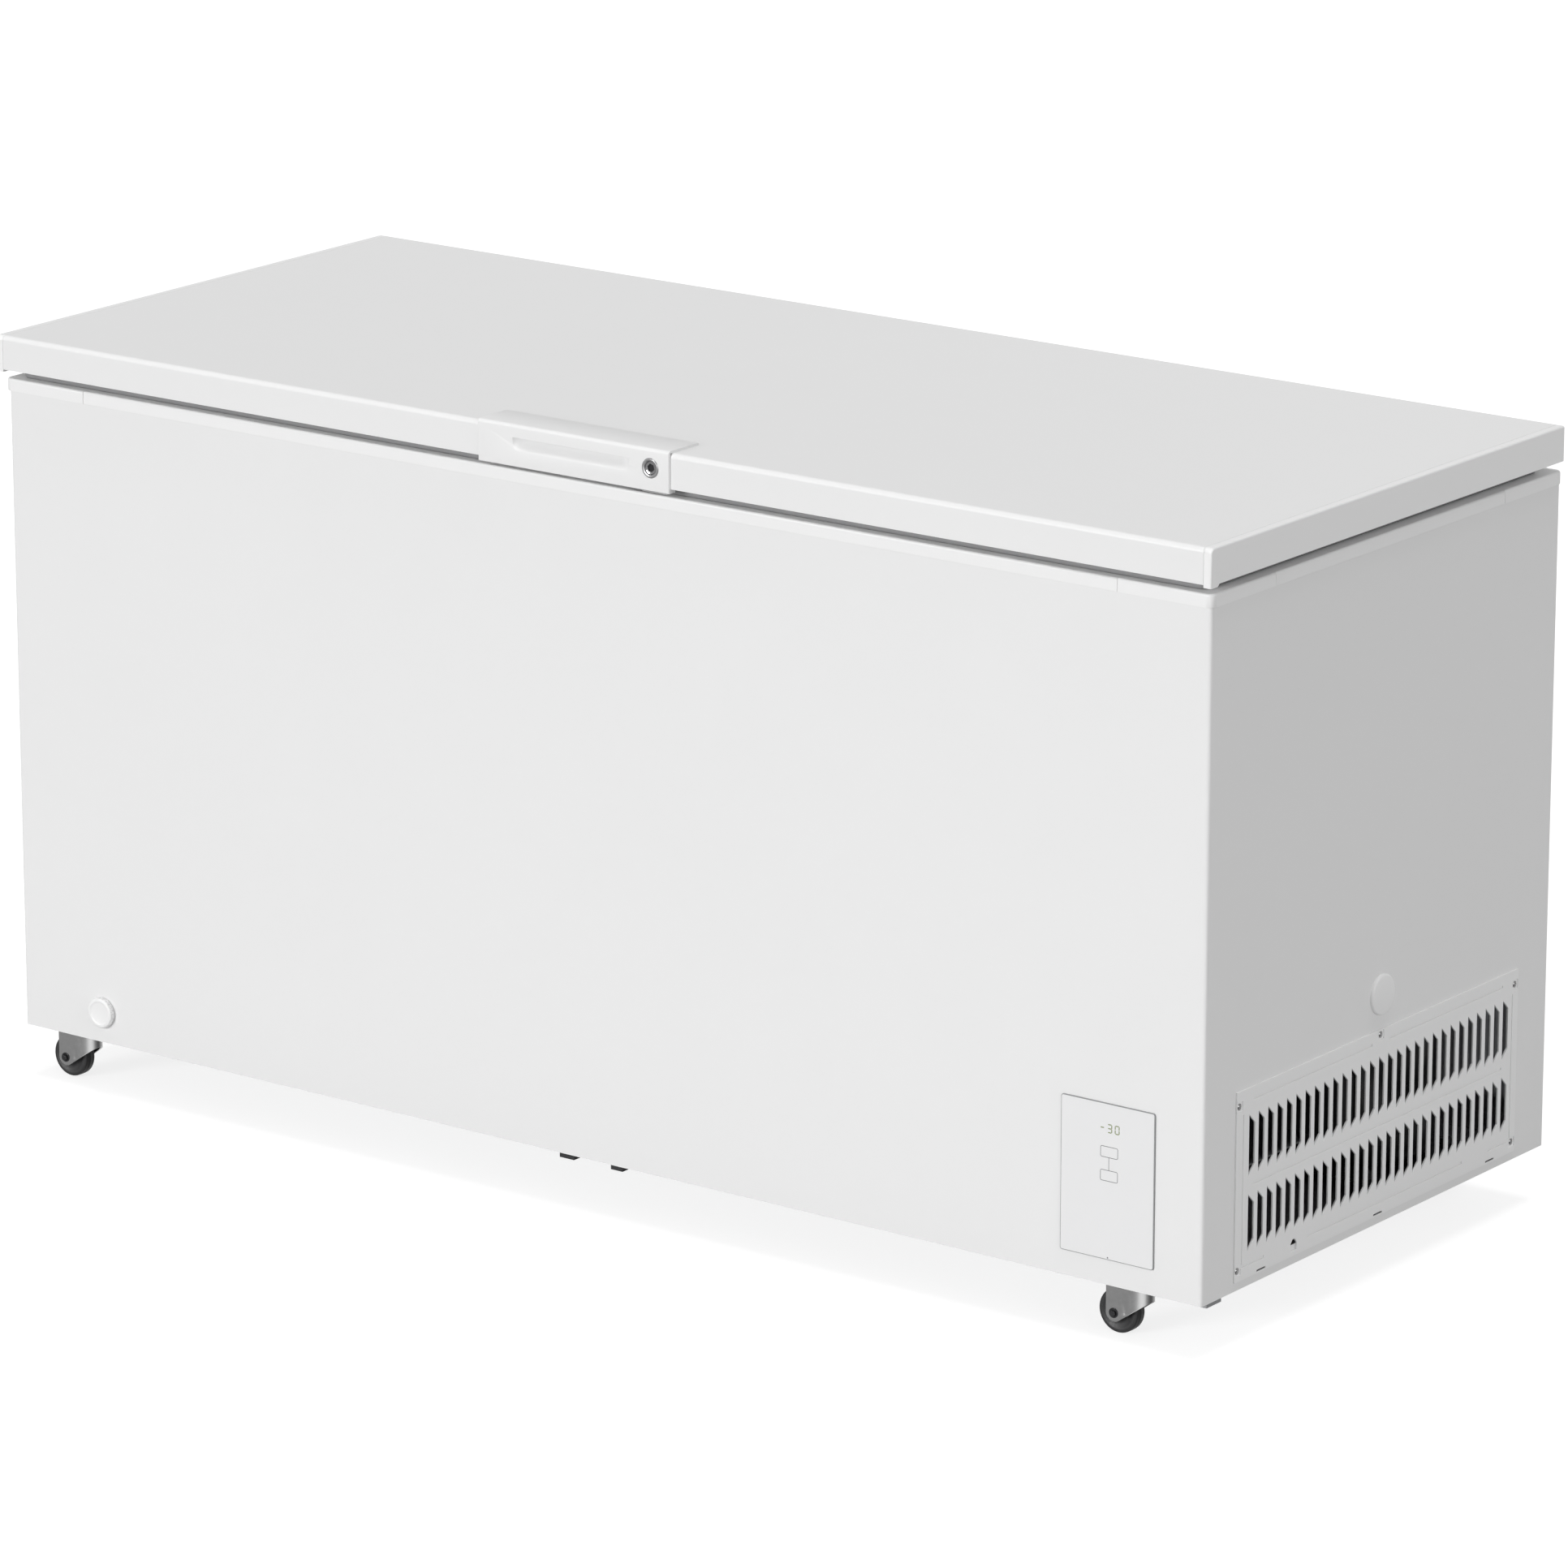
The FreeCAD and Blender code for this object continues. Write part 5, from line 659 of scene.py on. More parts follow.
caster = {
    "trail": 24, "axleHigh": 25, "halfWidth": 16, "sheet": 2.4, "top": 56.7, "tail": 10, "slope": 0.7,
    "topRound": 1.2, "pinHole": 4.05, "noseFrom": -9.5, "noseReach": 25.5,
    "dimpleX": -9.5, "dimpleZ": 32.5, "dimpleHigh": 8.5, "dimpleWide": 2.6, "dimpleDeep": 0.9,
    "washer": 5.6, "boltRadius": 3.9, "boltHigh": 3.05, "columns": 44, "rows": 26,
    "wheelRadius": 24.99, "wheelHalf": 8.5, "hubRadius": 8, "hubHalf": 12.5, "axleHole": 3.05, "treadRound": 3.6,
}


def forkLower(x):
    # lower edge of a leg: round the axle bolt, then straight up to the front
    trail, tail = caster["trail"], caster["tail"]
    turn = math.atan(caster["slope"])
    along = x + trail
    leave = tail * math.sin(turn)
    if along <= leave:
        return caster["axleHigh"] - math.sqrt(max(tail ** 2 - min(along ** 2, tail ** 2), 0))
    return caster["axleHigh"] - tail * math.cos(turn) + caster["slope"] * (along - leave)


def addFork(bm, cx, cy):
    half, top, rounding = caster["halfWidth"], caster["top"], caster["topRound"]
    rear = -caster["trail"] - caster["tail"]
    plan = []
    legSteps = caster["columns"]
    for step in range(legSteps + 1):
        # closer together near the tail, where the lower edge is round
        x = rear + (caster["noseFrom"] - rear) * (step / legSteps) ** 1.25
        plan.append((x, -half, 0.0, -1.0))
    arcSteps, reach = 48, caster["noseReach"]
    for step in range(1, arcSteps):
        turn = -math.pi / 2 + math.pi * step / arcSteps
        outward = Vector((math.cos(turn) / reach, math.sin(turn) / half)).normalized()
        plan.append((caster["noseFrom"] + reach * math.cos(turn), half * math.sin(turn), outward.x, outward.y))
    plan += [(x, half, 0.0, 1.0) for x, _, _, _ in plan[legSteps::-1]]
    grid = []
    for x, y, outX, outY in plan:
        low = forkLower(x)
        column = []
        for row in range(caster["rows"] + 1):
            z = low + (top - rounding - low) * row / caster["rows"]
            lens = max(0.0, 1 - ((z - caster["dimpleZ"]) / caster["dimpleHigh"]) ** 2)
            push = caster["dimpleDeep"] * lens * math.exp(-((x - caster["dimpleX"]) / caster["dimpleWide"]) ** 2)
            column.append((x - outX * push, y - outY * push, z))
        for row in range(1, 7):
            turn = math.pi / 2 * row / 6
            inset = rounding * (1 - math.cos(turn))
            column.append((x - outX * inset, y - outY * inset, top - rounding + rounding * math.sin(turn)))
        grid.append([bm.verts.new((cx + px * mm, cy + py * mm, pz * mm)) for px, py, pz in column])
    for first, second in zip(grid, grid[1:]):
        for row in range(len(first) - 1):
            bm.faces.new([first[row], second[row], second[row + 1], first[row + 1]])
    # top plate, from the rounded edge in to the pin's hole
    rim = [column[-1] for column in grid]
    count = len(rim)
    hole = []
    for index in range(count):
        turn = math.pi + 2 * math.pi * (index + 0.5) / count
        hole.append(bm.verts.new((cx + caster["pinHole"] * math.cos(turn) * mm,
                                  cy + caster["pinHole"] * math.sin(turn) * mm, top * mm)))
    for index in range(count - 1):
        bm.faces.new([rim[index], hole[index], hole[index + 1], rim[index + 1]])
    bm.faces.new([rim[-1], hole[-1], hole[0], rim[0]])


def addHexHead(bm, centre, outward, radius, height):
    addLathe(bm, [(0, 0), (radius * mm, 0), (radius * mm, height * 0.75 * mm), (radius * 0.82 * mm, height * mm),
                  (0, height * mm)], centre, outward, segments=6)


def makeCaster(corner):
    wheelLow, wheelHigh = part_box("caster_wheel_" + corner)
    wheelAxis = (Vector(wheelLow) + Vector(wheelHigh)) / 2
    cx, cy = wheelAxis.x + caster["trail"] * mm, wheelAxis.y
    bm = bmesh.new()
    addFork(bm, cx, cy)
    bmesh.ops.recalc_face_normals(bm, faces=bm.faces)
    steel = piece("fork_steel_" + corner, bm, zincPlate, "fork_" + corner, "zinc_steel",
                  ("caster_fork_" + corner,), sharpAngle=50)
    wall = steel.modifiers.new("sheet", "SOLIDIFY")
    wall.thickness = caster["sheet"] * mm
    wall.offset = -1
    bm = bmesh.new()
    for way in (-1, 1):
        seat = wheelAxis + Vector((0, way * (caster["halfWidth"] - 0.05) * mm, 0))
        washer = caster["washer"] * mm
        addLathe(bm, [(0, 0), (washer, 0), (washer, 0.8 * mm), (0, 0.8 * mm)], seat, (0, way, 0), segments=40)
        addHexHead(bm, seat + Vector((0, way * 0.8 * mm, 0)), (0, way, 0), caster["boltRadius"], caster["boltHigh"])
    addLathe(bm, [(0, -16 * mm), (2.9 * mm, -16 * mm), (2.9 * mm, 16 * mm), (0, 16 * mm)], wheelAxis, (0, 1, 0), 32)
    bolt = piece("axle_bolt_" + corner, bm, blackedSteel, "fork_" + corner, "zinc_steel", sharpAngle=30)
    bevelled(bolt, 0.25 * mm)
    bm = bmesh.new()
    outline = wheelOutline()
    addLathe(bm, [(r * mm, h * mm) for r, h in outline + [outline[0]]], wheelAxis, (0, 1, 0), segments=96)
    piece("wheel_tyre_" + corner, bm, tyreRubber, "wheel_" + corner, "tyre_black",
          ("caster_wheel_" + corner,), sharpAngle=40)


def wheelOutline():
    # hub, shallow dish, rounded tread edge and the faint moulding line round the middle
    radius, half, rounding = caster["wheelRadius"], caster["wheelHalf"], caster["treadRound"]
    side = [(caster["axleHole"], caster["hubHalf"]), (caster["hubRadius"] - 0.6, caster["hubHalf"]),
            (caster["hubRadius"], caster["hubHalf"] - 0.6), (caster["hubRadius"] + 0.3, half - 0.3),
            (caster["hubRadius"] + 1.6, half - 0.9), (17.5, half - 0.9), (18.6, half)]
    for step in range(9):
        turn = math.pi / 2 * step / 8
        side.append((radius - 0.12 - rounding + rounding * math.sin(turn),
                     half - rounding + rounding * math.cos(turn)))
    side += [(radius - 0.12, 0.35), (radius, 0.2)]
    return side + [(r, -h) for r, h in reversed(side)]


for corner in corners:
    makeCaster(corner)
print("casters built")


# lid gasket

gasket = {"cornerRadius": 12, "width": 14, "foldDeep": 2.2}


def makeGasket():
    low, high = (Vector(corner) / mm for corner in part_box("lid_gasket"))
    wide, deep = gasket["width"], gasket["foldDeep"]
    foot, top = low.z, high.z
    side = [(1.2, top), (1.2, top - 1.6), (deep + 0.8, top - 2.6), (deep + 0.8, top - 3.4), (0.7, top - 4.8),
            (0.1, top - 6.4), (0.0, top - 8.2), (0.4, top - 9.8), (1.5, foot + 0.3), (2.6, foot)]
    outline = side + [(wide - u, z) for u, z in reversed(side)]
    spots = roundedLoop(low.x, low.y, high.x, high.y, gasket["cornerRadius"], steps=10)
    bm = bmesh.new()
    rings = [[bm.verts.new(((spot - out * u).x * mm, (spot - out * u).y * mm, z * mm)) for u, z in outline]
             for spot, out in spots]
    for first, second in zip(rings, rings[1:] + rings[:1]):
        for step in range(len(outline)):
            after = (step + 1) % len(outline)
            bm.faces.new([first[step], second[step], second[after], first[after]])
    piece("gasket_bellows", bm, gasketRubber, "lid", "gasket_rubber", ("lid_gasket",), sharpAngle=50)


makeGasket()


# control panel print and display

panel = {"digitLow": 231.3, "digitHigh": 241.3, "digitLeft": 695.2, "digitWide": 6.2, "digitStep": 9.5, "stroke": 1.2,
         "keys": ((696.2, 203.9, 718.6, 216.3), (696.2, 177.7, 718.6, 190.1)), "keyLine": 0.6, "keyRound": 2.0,
         "linkX": 707.1, "markX": 706.8, "markZ": 93.0, "thick": 0.05}
segmentsOf = {"-": "g", "3": "abcdg", "0": "abcdef"}


def addFlat(bm, outline, y):
    # a thin raised print of one closed outline given as (x, z)
    front = [bm.verts.new((x * mm, y - panel["thick"] * mm, z * mm)) for x, z in outline]
    back = [bm.verts.new((x * mm, y, z * mm)) for x, z in outline]
    bm.faces.new(front)
    bm.faces.new(back[::-1])
    for step in range(len(outline)):
        after = (step + 1) % len(outline)
        bm.faces.new([front[step], back[step], back[after], front[after]])


def addKeyOutline(bm, key, y):
    left, low, right, high = key
    line = panel["keyLine"]
    outer = roundedLoop(left, low, right, high, panel["keyRound"], 6)
    loops = []
    for inset, depth in ((0, 0), (0, panel["thick"]), (line, panel["thick"]), (line, 0)):
        loops.append([bm.verts.new(((spot - out * inset).x * mm, y - depth * mm, (spot - out * inset).y * mm))
                      for spot, out in outer])
    for first, second in zip(loops, loops[1:] + loops[:1]):
        for step in range(len(outer)):
            after = (step + 1) % len(outer)
            bm.faces.new([first[step], first[after], second[after], second[step]])


def segmentOutline(letter, left, low, wide, high):
    t = panel["stroke"]
    mid = low + high / 2
    gap = 0.12
    if letter in "adg":
        z = {"a": low + high - t / 2, "d": low + t / 2, "g": mid}[letter]
        x0, x1 = left + gap + t / 2, left + wide - gap - t / 2
        return [(x0, z), (x0 + t / 2, z - t / 2), (x1 - t / 2, z - t / 2), (x1, z), (x1 - t / 2, z + t / 2),
                (x0 + t / 2, z + t / 2)]
    x = left + t / 2 if letter in "ef" else left + wide - t / 2
    z0, z1 = (mid, low + high - t / 2) if letter in "bf" else (low + t / 2, mid)
    z0, z1 = z0 + gap, z1 - gap
    return [(x, z0), (x + t / 2, z0 + t / 2), (x + t / 2, z1 - t / 2), (x, z1), (x - t / 2, z1 - t / 2),
            (x - t / 2, z0 + t / 2)]


def makePanelPrint():
    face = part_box("control_glass")[0][1]
    bm = bmesh.new()
    for number, digit in enumerate("-30"):
        left = panel["digitLeft"] + number * panel["digitStep"]
        for letter in segmentsOf[digit]:
            addFlat(bm, segmentOutline(letter, left, panel["digitLow"], panel["digitWide"],
                                       panel["digitHigh"] - panel["digitLow"]), face)
    piece("display_digits", bm, displayLight, "cabinet", "dark_plastic")
    bm = bmesh.new()
    for key in panel["keys"]:
        addKeyOutline(bm, key, face)
    upper, lower = panel["keys"]
    half = panel["keyLine"] / 2
    addFlat(bm, [(panel["linkX"] - half, lower[3]), (panel["linkX"] + half, lower[3]),
                 (panel["linkX"] + half, upper[1]), (panel["linkX"] - half, upper[1])], face)
    addFlat(bm, [(panel["markX"] + 0.9 * math.cos(turn), panel["markZ"] + 0.9 * math.sin(turn))
                 for turn in (2 * math.pi * step / 16 for step in range(16))], face)
    piece("panel_key_lines", bm, printGrey, "cabinet", "dark_plastic")


makePanelPrint()
print("gasket and panel print built")


# lock, cap, plug

lockParts = {"ringRadius": 11.9, "bore": 8.2, "eye": 7.3, "faceRadius": 8.0, "hexRadius": 4.9, "hexDeep": 2.6,
             "camHalf": 4.9, "camEye": 7.4, "camThick": 1.9}


def makeLock():
    low, high = (Vector(corner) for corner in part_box("lock_ring"))
    centre = (low + high) / 2
    centre.y = low.y
    reach = (high.y - low.y) / mm
    r, bore = lockParts["ringRadius"], lockParts["bore"]
    outline = [(bore, reach), (bore, 1.6), (lockParts["eye"] + 0.4, 1.3), (lockParts["eye"], 0.9),
               (lockParts["eye"] + 0.5, 0.3), (lockParts["eye"] + 1.0, 0.1), (r - 2.0, 0.0), (r - 1.5, 0.1),
               (r - 0.3, 1.7), (r, 2.2), (r, 3.2), (r - 0.4, 3.6), (10.1, 3.7), (10.1, reach)]
    bm = bmesh.new()
    addLathe(bm, [(a * mm, b * mm) for a, b in outline + [outline[0]]], centre, (0, 1, 0), segments=96)
    piece("lock_bezel", bm, satinChrome, "lid", "chrome", ("lock_ring",), sharpAngle=28)
    cylinderLow, cylinderHigh = (Vector(corner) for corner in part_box("lock_cylinder"))
    r, eye, deep = lockParts["faceRadius"], lockParts["hexRadius"], lockParts["hexDeep"]
    depth = (cylinderHigh.y - low.y) / mm
    bm = bmesh.new()
    addLathe(bm, [(a * mm, b * mm) for a, b in ((0, 2.4), (eye + 0.2, 2.4), (r - 1.2, 1.9), (r - 0.3, 2.2), (r, 2.8),
                                                (r, depth), (0, depth))], centre, (0, 1, 0), segments=72)
    toolBm = bmesh.new()
    addLathe(toolBm, [(0, 1.5 * mm), (eye * mm, 1.5 * mm), (eye * mm, (2.4 + deep) * mm), (0, (2.4 + deep) * mm)],
             centre, (0, 1, 0), segments=6)
    toObject("lock_barrel", carve(bm, toolBm, "lock_barrel"), chromePlate, "lock", ("lock_cylinder",))
    # a black disc at the floor of the hex recess: painted shade that makes the shallow keyway read as a dark hole
    bm = bmesh.new()
    addLathe(bm, [(0, (2.4 + deep - 0.3) * mm), ((eye - 0.1) * mm, (2.4 + deep - 0.3) * mm),
                  ((eye - 0.1) * mm, (2.4 + deep + 0.2) * mm), (0, (2.4 + deep + 0.2) * mm)], centre, (0, 1, 0), 6)
    piece("lock_keyway_painted_shade", bm, blackedSteel, "lock", "chrome")
    # the cam: a round eye on the barrel and a narrower arm with a round tip
    cam = bmesh.new()
    half, eyeRadius = lockParts["camHalf"], lockParts["camEye"]
    tip = cylinderLow.x / mm + half + 0.1
    meet = math.pi - math.asin(half / eyeRadius)
    edge = [(tip + half * math.cos(turn), half * math.sin(turn))
            for turn in (math.pi * (0.5 + step / 12) for step in range(13))]
    edge += [(centre.x / mm + eyeRadius * math.cos(turn), eyeRadius * math.sin(turn))
             for turn in (-meet + 2 * meet * step / 24 for step in range(25))]
    sides = [[cam.verts.new((x * mm, y, centre.z + z * mm)) for x, z in edge]
             for y in (cylinderHigh.y - lockParts["camThick"] * mm, cylinderHigh.y)]
    cam.faces.new(sides[0])
    cam.faces.new(sides[1][::-1])
    for step in range(len(edge)):
        after = (step + 1) % len(edge)
        cam.faces.new([sides[0][after], sides[0][step], sides[1][step], sides[1][after]])
    bevelled(piece("lock_cam", cam, zincPlate, "lock", "chrome"), 0.3 * mm, 2)


makeLock()


handle = {
    "topRound": 4.0, "sideRound": 1.5, "footRound": 0.8, "lipBelowTop": 14.3, "backThick": 10.4, "lockSeat": 10.4,
    "scoopLeft": -78.0, "scoopRight": 82.0, "scoopHigh": 17.0, "scoopDeep": 10.6, "scoopCurve": 2.4,
    "endSoft": 20.0, "endSwell": 0.8, "scoopColumns": 64, "scoopRows": 20,
}


def addProfile(bm, outline, x0, x1, endRound):
    # a bar of one outline in y and z, with its upright ends rounded off at the front
    frontY = min(y for y, z in outline)
    stations = [(endRound * (1 - math.cos(turn)), endRound * (1 - math.sin(turn)))
                for turn in (math.pi / 2 * step / 5 for step in range(6))]
    rows = [(x0 + inward, back) for inward, back in stations]
    rows += [(x1 - inward, back) for inward, back in reversed(stations)]
    loops = [[bm.verts.new((x * mm, max(y, frontY + back) * mm, z * mm)) for y, z in outline] for x, back in rows]
    for first, second in zip(loops, loops[1:]):
        for step in range(len(outline)):
            after = (step + 1) % len(outline)
            bm.faces.new([first[step], first[after], second[after], second[step]])
    bm.faces.new(loops[0][::-1])
    bm.faces.new(loops[-1])


def makeHandle():
    low, high = (Vector(corner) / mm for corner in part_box("handle"))
    lidFront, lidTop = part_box("lid_skin")[0][1] / mm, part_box("lid_skin")[1][2] / mm
    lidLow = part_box("lid_skin")[0][2] / mm
    topR, footR = handle["topRound"], handle["footRound"]
    outline = [(lidFront + 8, low.z), (low.y + footR, low.z)]
    outline += [(low.y + footR - footR * math.sin(turn), low.z + footR - footR * math.cos(turn))
                for turn in (math.pi / 2 * step / 4 for step in range(1, 5))]
    outline += [(low.y + topR - topR * math.cos(turn), high.z - topR + topR * math.sin(turn))
                for turn in (math.pi / 2 * step / 10 for step in range(11))]
    outline += [(high.y - 2.2, high.z), (high.y - 0.7, high.z - 0.6), (high.y, lidTop + 0.02),
                (lidFront - 0.02, lidTop + 0.02), (lidFront - 0.02, lidLow - 0.02), (lidFront + 8, lidLow - 0.02)]
    strap = bmesh.new()
    addProfile(strap, outline, low.x, high.x, handle["sideRound"])
    lip = high.z - handle["lipBelowTop"]
    foot = lip - handle["scoopHigh"]
    left, right = handle["scoopLeft"], handle["scoopRight"]
    addBox(strap, ((left - 1.5) * mm, (lidFront - 1.0) * mm, (foot - 1.5) * mm),
           ((right + 1.5) * mm, (lidFront + handle["backThick"]) * mm, (lip + 1.9) * mm))
    scoop = bmesh.new()
    across, up = handle["scoopColumns"], handle["scoopRows"]
    front, back = [], []
    for column in range(across + 1):
        x = left + (right - left) * column / across
        nearEnd = min(1.0, min(x - left, right - x) / handle["endSoft"])
        swell = math.sin(nearEnd * math.pi / 2) ** handle["endSwell"]
        frontRow, backRow = [], []
        for row in range(up + 1):
            share = row / up
            z = foot + (lip - foot) * share
            depth = handle["scoopDeep"] * swell * (math.sin(share * math.pi / 2) ** handle["scoopCurve"])
            frontRow.append(scoop.verts.new((x * mm, (low.y - 1.0) * mm, z * mm)))
            backRow.append(scoop.verts.new((x * mm, (low.y - 0.15 + depth) * mm, z * mm)))
        front.append(frontRow)
        back.append(backRow)
    for column in range(across):
        for row in range(up):
            scoop.faces.new([front[column][row], front[column][row + 1], front[column + 1][row + 1],
                             front[column + 1][row]])
            scoop.faces.new([back[column][row], back[column + 1][row], back[column + 1][row + 1],
                             back[column][row + 1]])
        for row, flip in ((0, False), (up, True)):
            ring = [front[column][row], front[column + 1][row], back[column + 1][row], back[column][row]]
            scoop.faces.new(ring[::-1] if flip else ring)
    for column, flip in ((0, True), (across, False)):
        for row in range(up):
            ring = [front[column][row], front[column][row + 1], back[column][row + 1], back[column][row]]
            scoop.faces.new(ring[::-1] if flip else ring)
    lock = (Vector(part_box("lock_ring")[0]) + Vector(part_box("lock_ring")[1])) / 2
    seat = handle["lockSeat"] * mm
    addLathe(scoop, [(0, low.y * mm - 0.01), (seat, low.y * mm - 0.01), (seat, lidFront * mm + 0.003),
                     (0, lidFront * mm + 0.003)], (lock.x, 0, lock.z), (0, 1, 0), segments=64)
    toObject("handle_grip", carve(strap, scoop, "handle_grip"), handleShadedPlastic, "lid", ("handle",))


makeHandle()


def makeSideCap():
    low, high = (Vector(corner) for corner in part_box("side_cap"))
    centre = (low + high) / 2
    centre.x = low.x
    reach = (high.x - low.x) / mm
    r = (high.y - low.y) / 2 / mm
    outline = [(0, 0), (4.6, 0), (5, 0.4), (5, reach - 5), (r, reach - 5), (r, reach - 3.6)]
    outline += [(r - 2.4 + 2.4 * math.cos(turn), reach - 3.6 + 2.4 * math.sin(turn))
                for turn in (math.pi / 2 * step / 6 for step in range(1, 7))]
    outline += [(r * (1 - share), reach - 1.2 + 1.2 * (1 - (1 - share) ** 2)) for share in (0.3, 0.5, 0.7, 0.85)]
    outline.append((0, reach))
    bm = bmesh.new()
    addLathe(bm, [(a * mm, b * mm) for a, b in outline], centre, (1, 0, 0), segments=96)
    piece("side_cap_dome", bm, whitePlastic, "cabinet", "white_plastic", ("side_cap",), sharpAngle=40)


makeSideCap()


def makeDrainPlug():
    low, high = (Vector(corner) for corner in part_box("drain_plug"))
    centre = (low + high) / 2
    centre.y = low.y
    reach, r = (high.y - low.y) / mm, (high.x - low.x) / 2 / mm
    outline = [(0, 1.0), (r - 6.5, 1.0), (r - 5.0, 0.6), (r - 4.0, 0.0)]
    outline += [(r - 2.5 + 2.5 * math.sin(turn), 2.5 - 2.5 * math.cos(turn))
                for turn in (math.pi / 2 * step / 6 for step in range(1, 7))]
    outline += [(r, 5.8), (r - 0.6, 6.9), (9.0, 6.9), (9.0, 9.0), (9.8, 10.0), (9.8, 12.0), (9.0, 13.0),
                (9.0, 16.0), (9.8, 17.0), (9.8, 19.0), (9.0, 20.0), (8.2, reach), (0, reach)]
    bm = bmesh.new()
    addLathe(bm, [(a * mm, b * mm) for a, b in outline], centre, (0, 1, 0), segments=96)
    gripBm = bmesh.new()
    for turn in range(0, 360, 15):
        spot = Vector((math.cos(math.radians(turn)), 0, math.sin(math.radians(turn)))) * (r + 0.55) * mm
        addLathe(gripBm, [(0, 0.6 * mm), (1.3 * mm, 0.6 * mm), (1.3 * mm, 5.0 * mm), (0, 5.0 * mm)],
                 centre + spot, (0, 1, 0), segments=16)
    toObject("drain_plug_knob", carve(bm, gripBm, "drain_plug_knob"), whitePlastic, "drain_plug",
             ("drain_plug",))


makeDrainPlug()
print("lock, handle, cap and drain plug built")


slotShadeBlocks = {"shares": (0.0914, 0.5, 0.908), "halfLong": 8.3, "foot": 73.8, "top": 75.6, "depth": 1.0}


def makeSlotShadeBlocks():
    # dark blocks in the slots along the foot of the side grille: painted shade that makes those slots read dark
    low, high = (Vector(corner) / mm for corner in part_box("side_grille"))
    bm = bmesh.new()
    for share in slotShadeBlocks["shares"]:
        y = low.y + (high.y - low.y) * share
        addBox(bm, ((low.x + 0.05) * mm, (y - slotShadeBlocks["halfLong"]) * mm, slotShadeBlocks["foot"] * mm),
               ((low.x + slotShadeBlocks["depth"]) * mm, (y + slotShadeBlocks["halfLong"]) * mm, slotShadeBlocks["top"] * mm))
    bevelled(piece("grille_slot_painted_shade", bm, blackPlastic, "cabinet", "dark_plastic"), 0.2 * mm)


makeSlotShadeBlocks()


# louvres behind the rear cover's slots

louvres = {"first": 22, "pitch": 12.5, "count": 13, "low": 36, "fromTop": 30, "across": 11.4, "inward": 5.2,
           "sheet": 0.5}


def makeLouvres():
    low, high = (Vector(corner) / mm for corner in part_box("rear_cover"))
    bm = bmesh.new()
    for number in range(louvres["count"]):
        x = low.x + louvres["first"] + number * louvres["pitch"] - 0.5
        z0, z1 = low.z + louvres["low"] - 1, high.z - louvres["fromTop"] + 1
        curve = [(x + louvres["across"] * share, low.y - 0.1 - louvres["inward"] * share ** 0.8)
                 for share in (0, 0.15, 0.3, 0.5, 0.75, 1.0)]
        section = curve + [(a, b + louvres["sheet"]) for a, b in reversed(curve)]
        loops = [[bm.verts.new((a * mm, min(b, low.y - 0.05) * mm, z * mm)) for a, b in section] for z in (z0, z1)]
        for step in range(len(section)):
            after = (step + 1) % len(section)
            bm.faces.new([loops[0][step], loops[0][after], loops[1][after], loops[1][step]])
        bm.faces.new(loops[0][::-1])
        bm.faces.new(loops[1])
    piece("rear_louvres", bm, galvanised, "cabinet", "galvanised_steel")


makeLouvres()


# screws and springs

def looseBoxes(name):
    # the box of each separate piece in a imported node
    bm = bmesh.new()
    bm.from_mesh(nodes[name].data)
    bmesh.ops.remove_doubles(bm, verts=bm.verts, dist=0.00001)
    seen, boxes = set(), []
    for vert in bm.verts:
        if vert.index in seen:
            continue
        stack, group = [vert], []
        seen.add(vert.index)
        while stack:
            here = stack.pop()
            group.append(here.co.copy())
            for edge in here.link_edges:
                other = edge.other_vert(here)
                if other.index not in seen:
                    seen.add(other.index)
                    stack.append(other)
        boxes.append((Vector(map(min, *group)), Vector(map(max, *group))))
    bm.free()
    return boxes


screw = {"domeRise": 0.0022, "slotLong": 0.52, "slotHalf": 0.11, "slotDeep": 0.0009}


def makeScrews(name, node, material):
    bm, toolBm = bmesh.new(), bmesh.new()
    for low, high in looseBoxes(node):
        size = high - low
        outward = Vector((1, 0, 0)) if size.x < size.y and low.x > cadHigh.x * 0.9 else Vector((0, 1, 0))
        reach = abs(size.dot(outward))
        r = size.z / 2
        foot = (low + high) / 2 - outward * reach / 2
        rise = screw["domeRise"]
        dome = [(r * math.cos(turn), reach - rise + rise * math.sin(turn))
                for turn in (math.pi / 2 * step / 8 for step in range(9))]
        addLathe(bm, [(0, 0), (r, 0)] + dome[:-1] + [(0, reach)], foot, outward, segments=40)
        side, up, _ = axisFrame(outward)
        top = foot + outward * reach
        for long, short in ((side, up), (up, side)):
            corner = []
            for a, b, c in ((-1, -1, -1.3), (1, -1, -1.3), (1, 1, -1.3), (-1, 1, -1.3), (-1, -1, 1), (1, -1, 1),
                            (1, 1, 1), (-1, 1, 1)):
                corner.append(toolBm.verts.new(top + long * a * r * screw["slotLong"]
                                               + short * b * r * screw["slotHalf"]
                                               + outward * c * screw["slotDeep"]))
            for face in ((3, 2, 1, 0), (4, 5, 6, 7), (0, 1, 5, 4), (1, 2, 6, 5), (2, 3, 7, 6), (3, 0, 4, 7)):
                toolBm.faces.new([corner[index] for index in face])
    toObject(name, carve(bm, toolBm, name), material, "cabinet", (node,))


makeScrews("cross_head_screws", "cover_screws", zincPlate)
makeScrews("hinge_screw_heads", "hinge_screws", zincPlate)

spring = {"wire": 0.95, "turns": 11, "steps": 26}


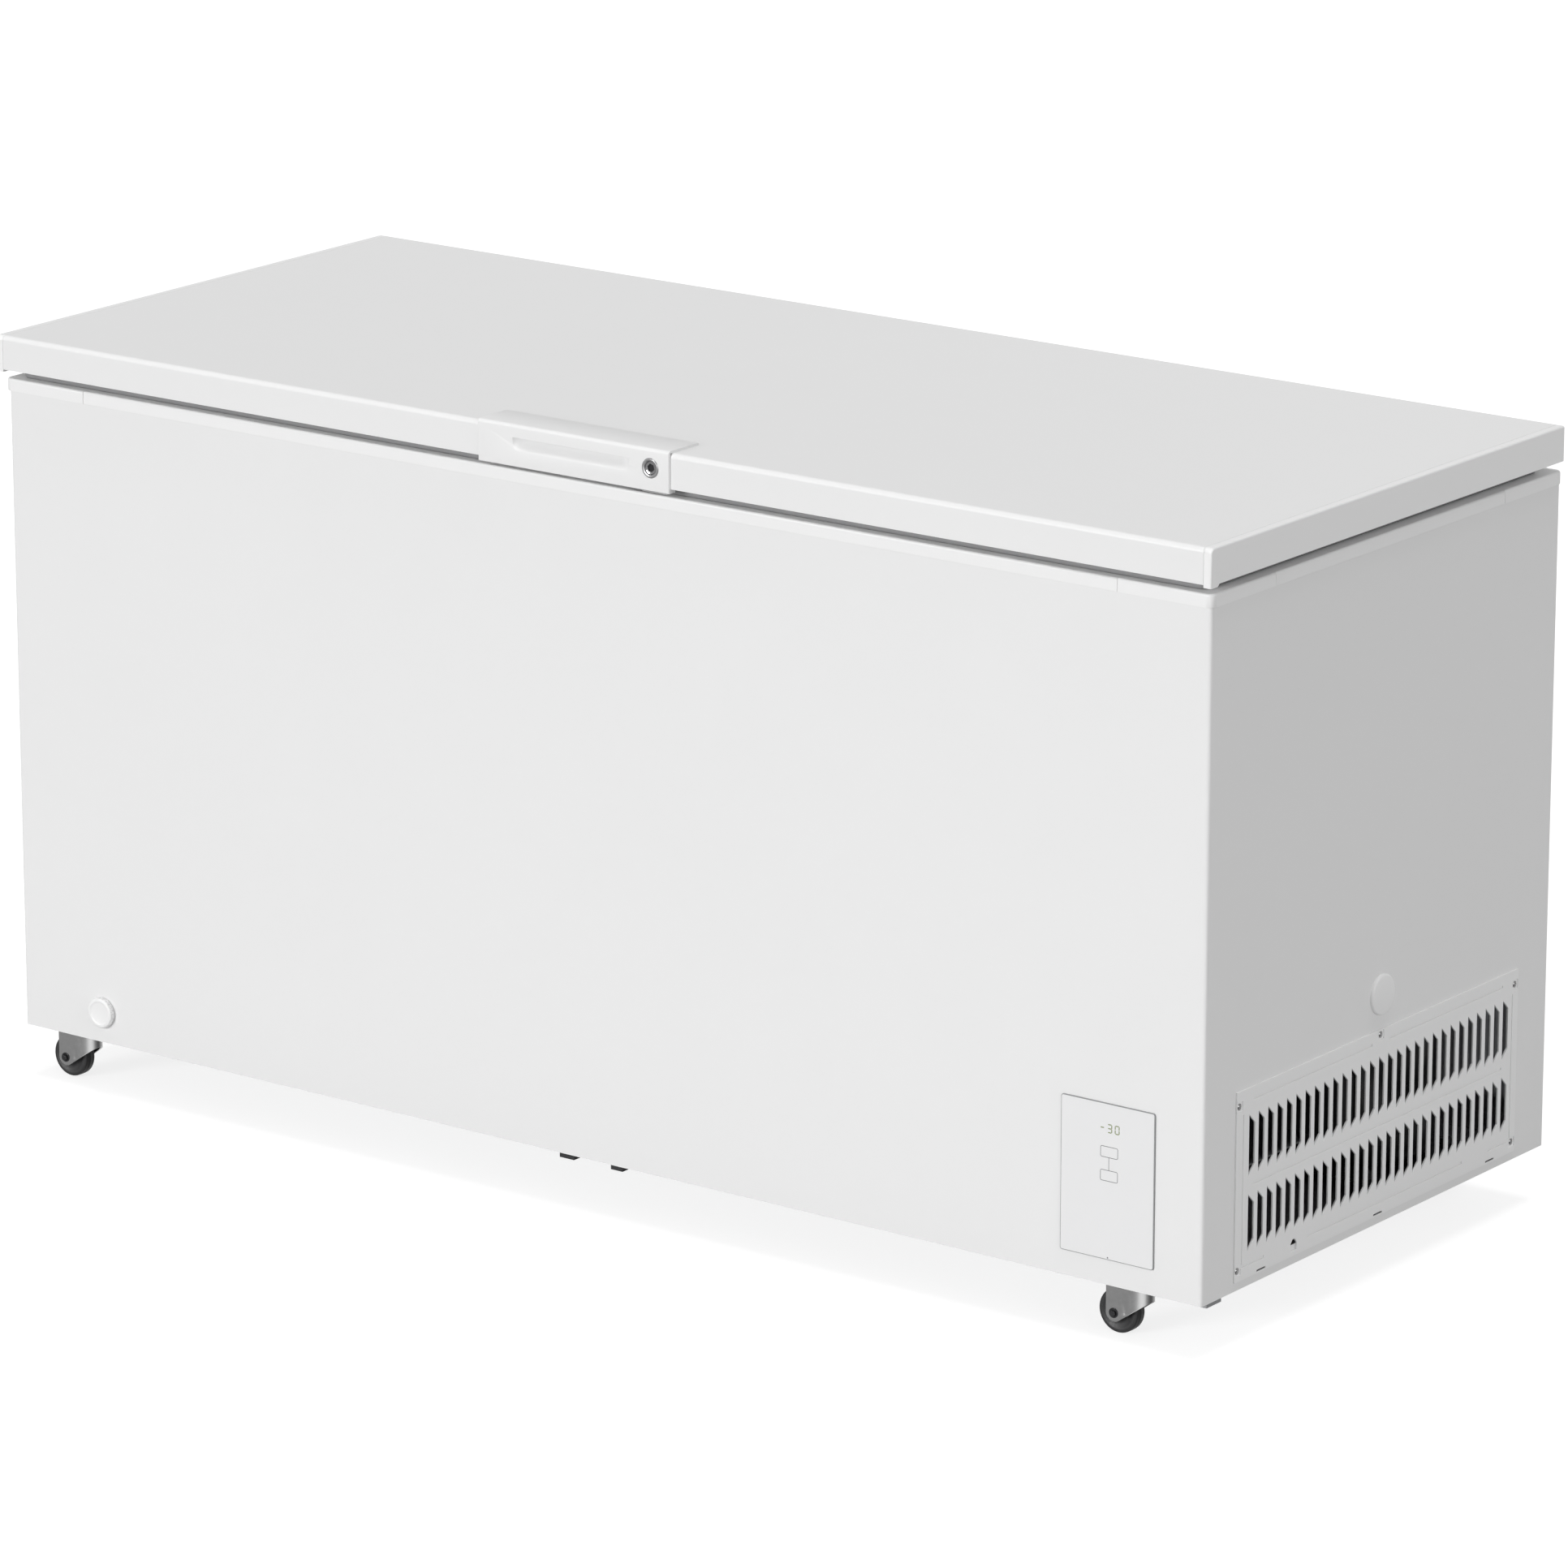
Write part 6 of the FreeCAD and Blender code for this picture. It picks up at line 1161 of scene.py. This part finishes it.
def makeSprings():
    bm = bmesh.new()
    for low, high in looseBoxes("hinge_springs"):
        centre = (low + high) / 2
        radius = (high.z - low.z) / 2 - spring["wire"] * mm
        first, last = low.x + spring["wire"] * mm, high.x - spring["wire"] * mm
        count = spring["turns"] * spring["steps"]
        path = [Vector((first + (last - first) * step / count,
                        centre.y + radius * 0.99 * math.cos(2 * math.pi * step / spring["steps"]),
                        centre.z + radius * math.sin(2 * math.pi * step / spring["steps"])))
                for step in range(count + 1)]
        addTube(bm, path, spring["wire"] * mm, segments=10)
    piece("hinge_spring_coils", bm, zincPlate, "cabinet", "zinc_steel", ("hinge_springs",), sharpAngle=60)


makeSprings()
print("screws and springs built")


# hanging wire basket

basket = {"wire": 2.0, "across": 8, "along": 12, "corner": 10, "thin": 1.5}


def makeBasket():
    low, high = (Vector(corner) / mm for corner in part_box("basket"))
    wire, thin = basket["wire"], basket["thin"]
    x0, x1 = low.x + wire, high.x - wire
    y0, y1 = low.y + 17 + wire, high.y - 17 - wire
    floor, rim, seat = low.z + wire, 811.5, high.z - wire
    bm = bmesh.new()

    def loop(z, inset, r):
        spots = roundedLoop(x0 + inset, y0 + inset, x1 - inset, y1 - inset, basket["corner"], 6)
        addTube(bm, [Vector((spot.x, spot.y, z)) * mm for spot, out in spots], r * mm, closed=True)

    loop(rim, 0, wire)
    loop(floor + 0.4, 0, wire)
    loop((floor + rim) / 2, 0, thin)
    for number in range(basket["across"]):
        x = x0 + 12 + (x1 - x0 - 24) * number / (basket["across"] - 1)
        path = bend([(x, y0 + wire, rim), (x, y0 + wire, floor + 1.5), (x, y1 - wire, floor + 1.5),
                     (x, y1 - wire, rim)], 12)
        addTube(bm, [point * mm for point in path], thin * mm)
    for number in range(basket["along"]):
        y = y0 + 14 + (y1 - y0 - 28) * number / (basket["along"] - 1)
        path = bend([(x0 + wire, y, rim), (x0 + wire, y, floor + 4), (x1 - wire, y, floor + 4),
                     (x1 - wire, y, rim)], 12)
        addTube(bm, [point * mm for point in path], thin * mm)
    for y, way in ((y0, -1), (y1, 1)):
        rail = (low.y if way < 0 else high.y) - way * wire
        for share in (0.15, 0.85):
            x = x0 + (x1 - x0) * share
            path = bend([(x, y, rim - 60), (x, y, seat), (x, rail, seat)], 4)
            addTube(bm, [point * mm for point in path], wire * mm)
        addTube(bm, [Vector((x, rail, seat)) * mm for x in (x0, x1)], wire * mm)
    piece("wire_basket", bm, dippedWire, "basket", "white_wire", ("basket",), sharpAngle=60)


makeBasket()
print("basket built")
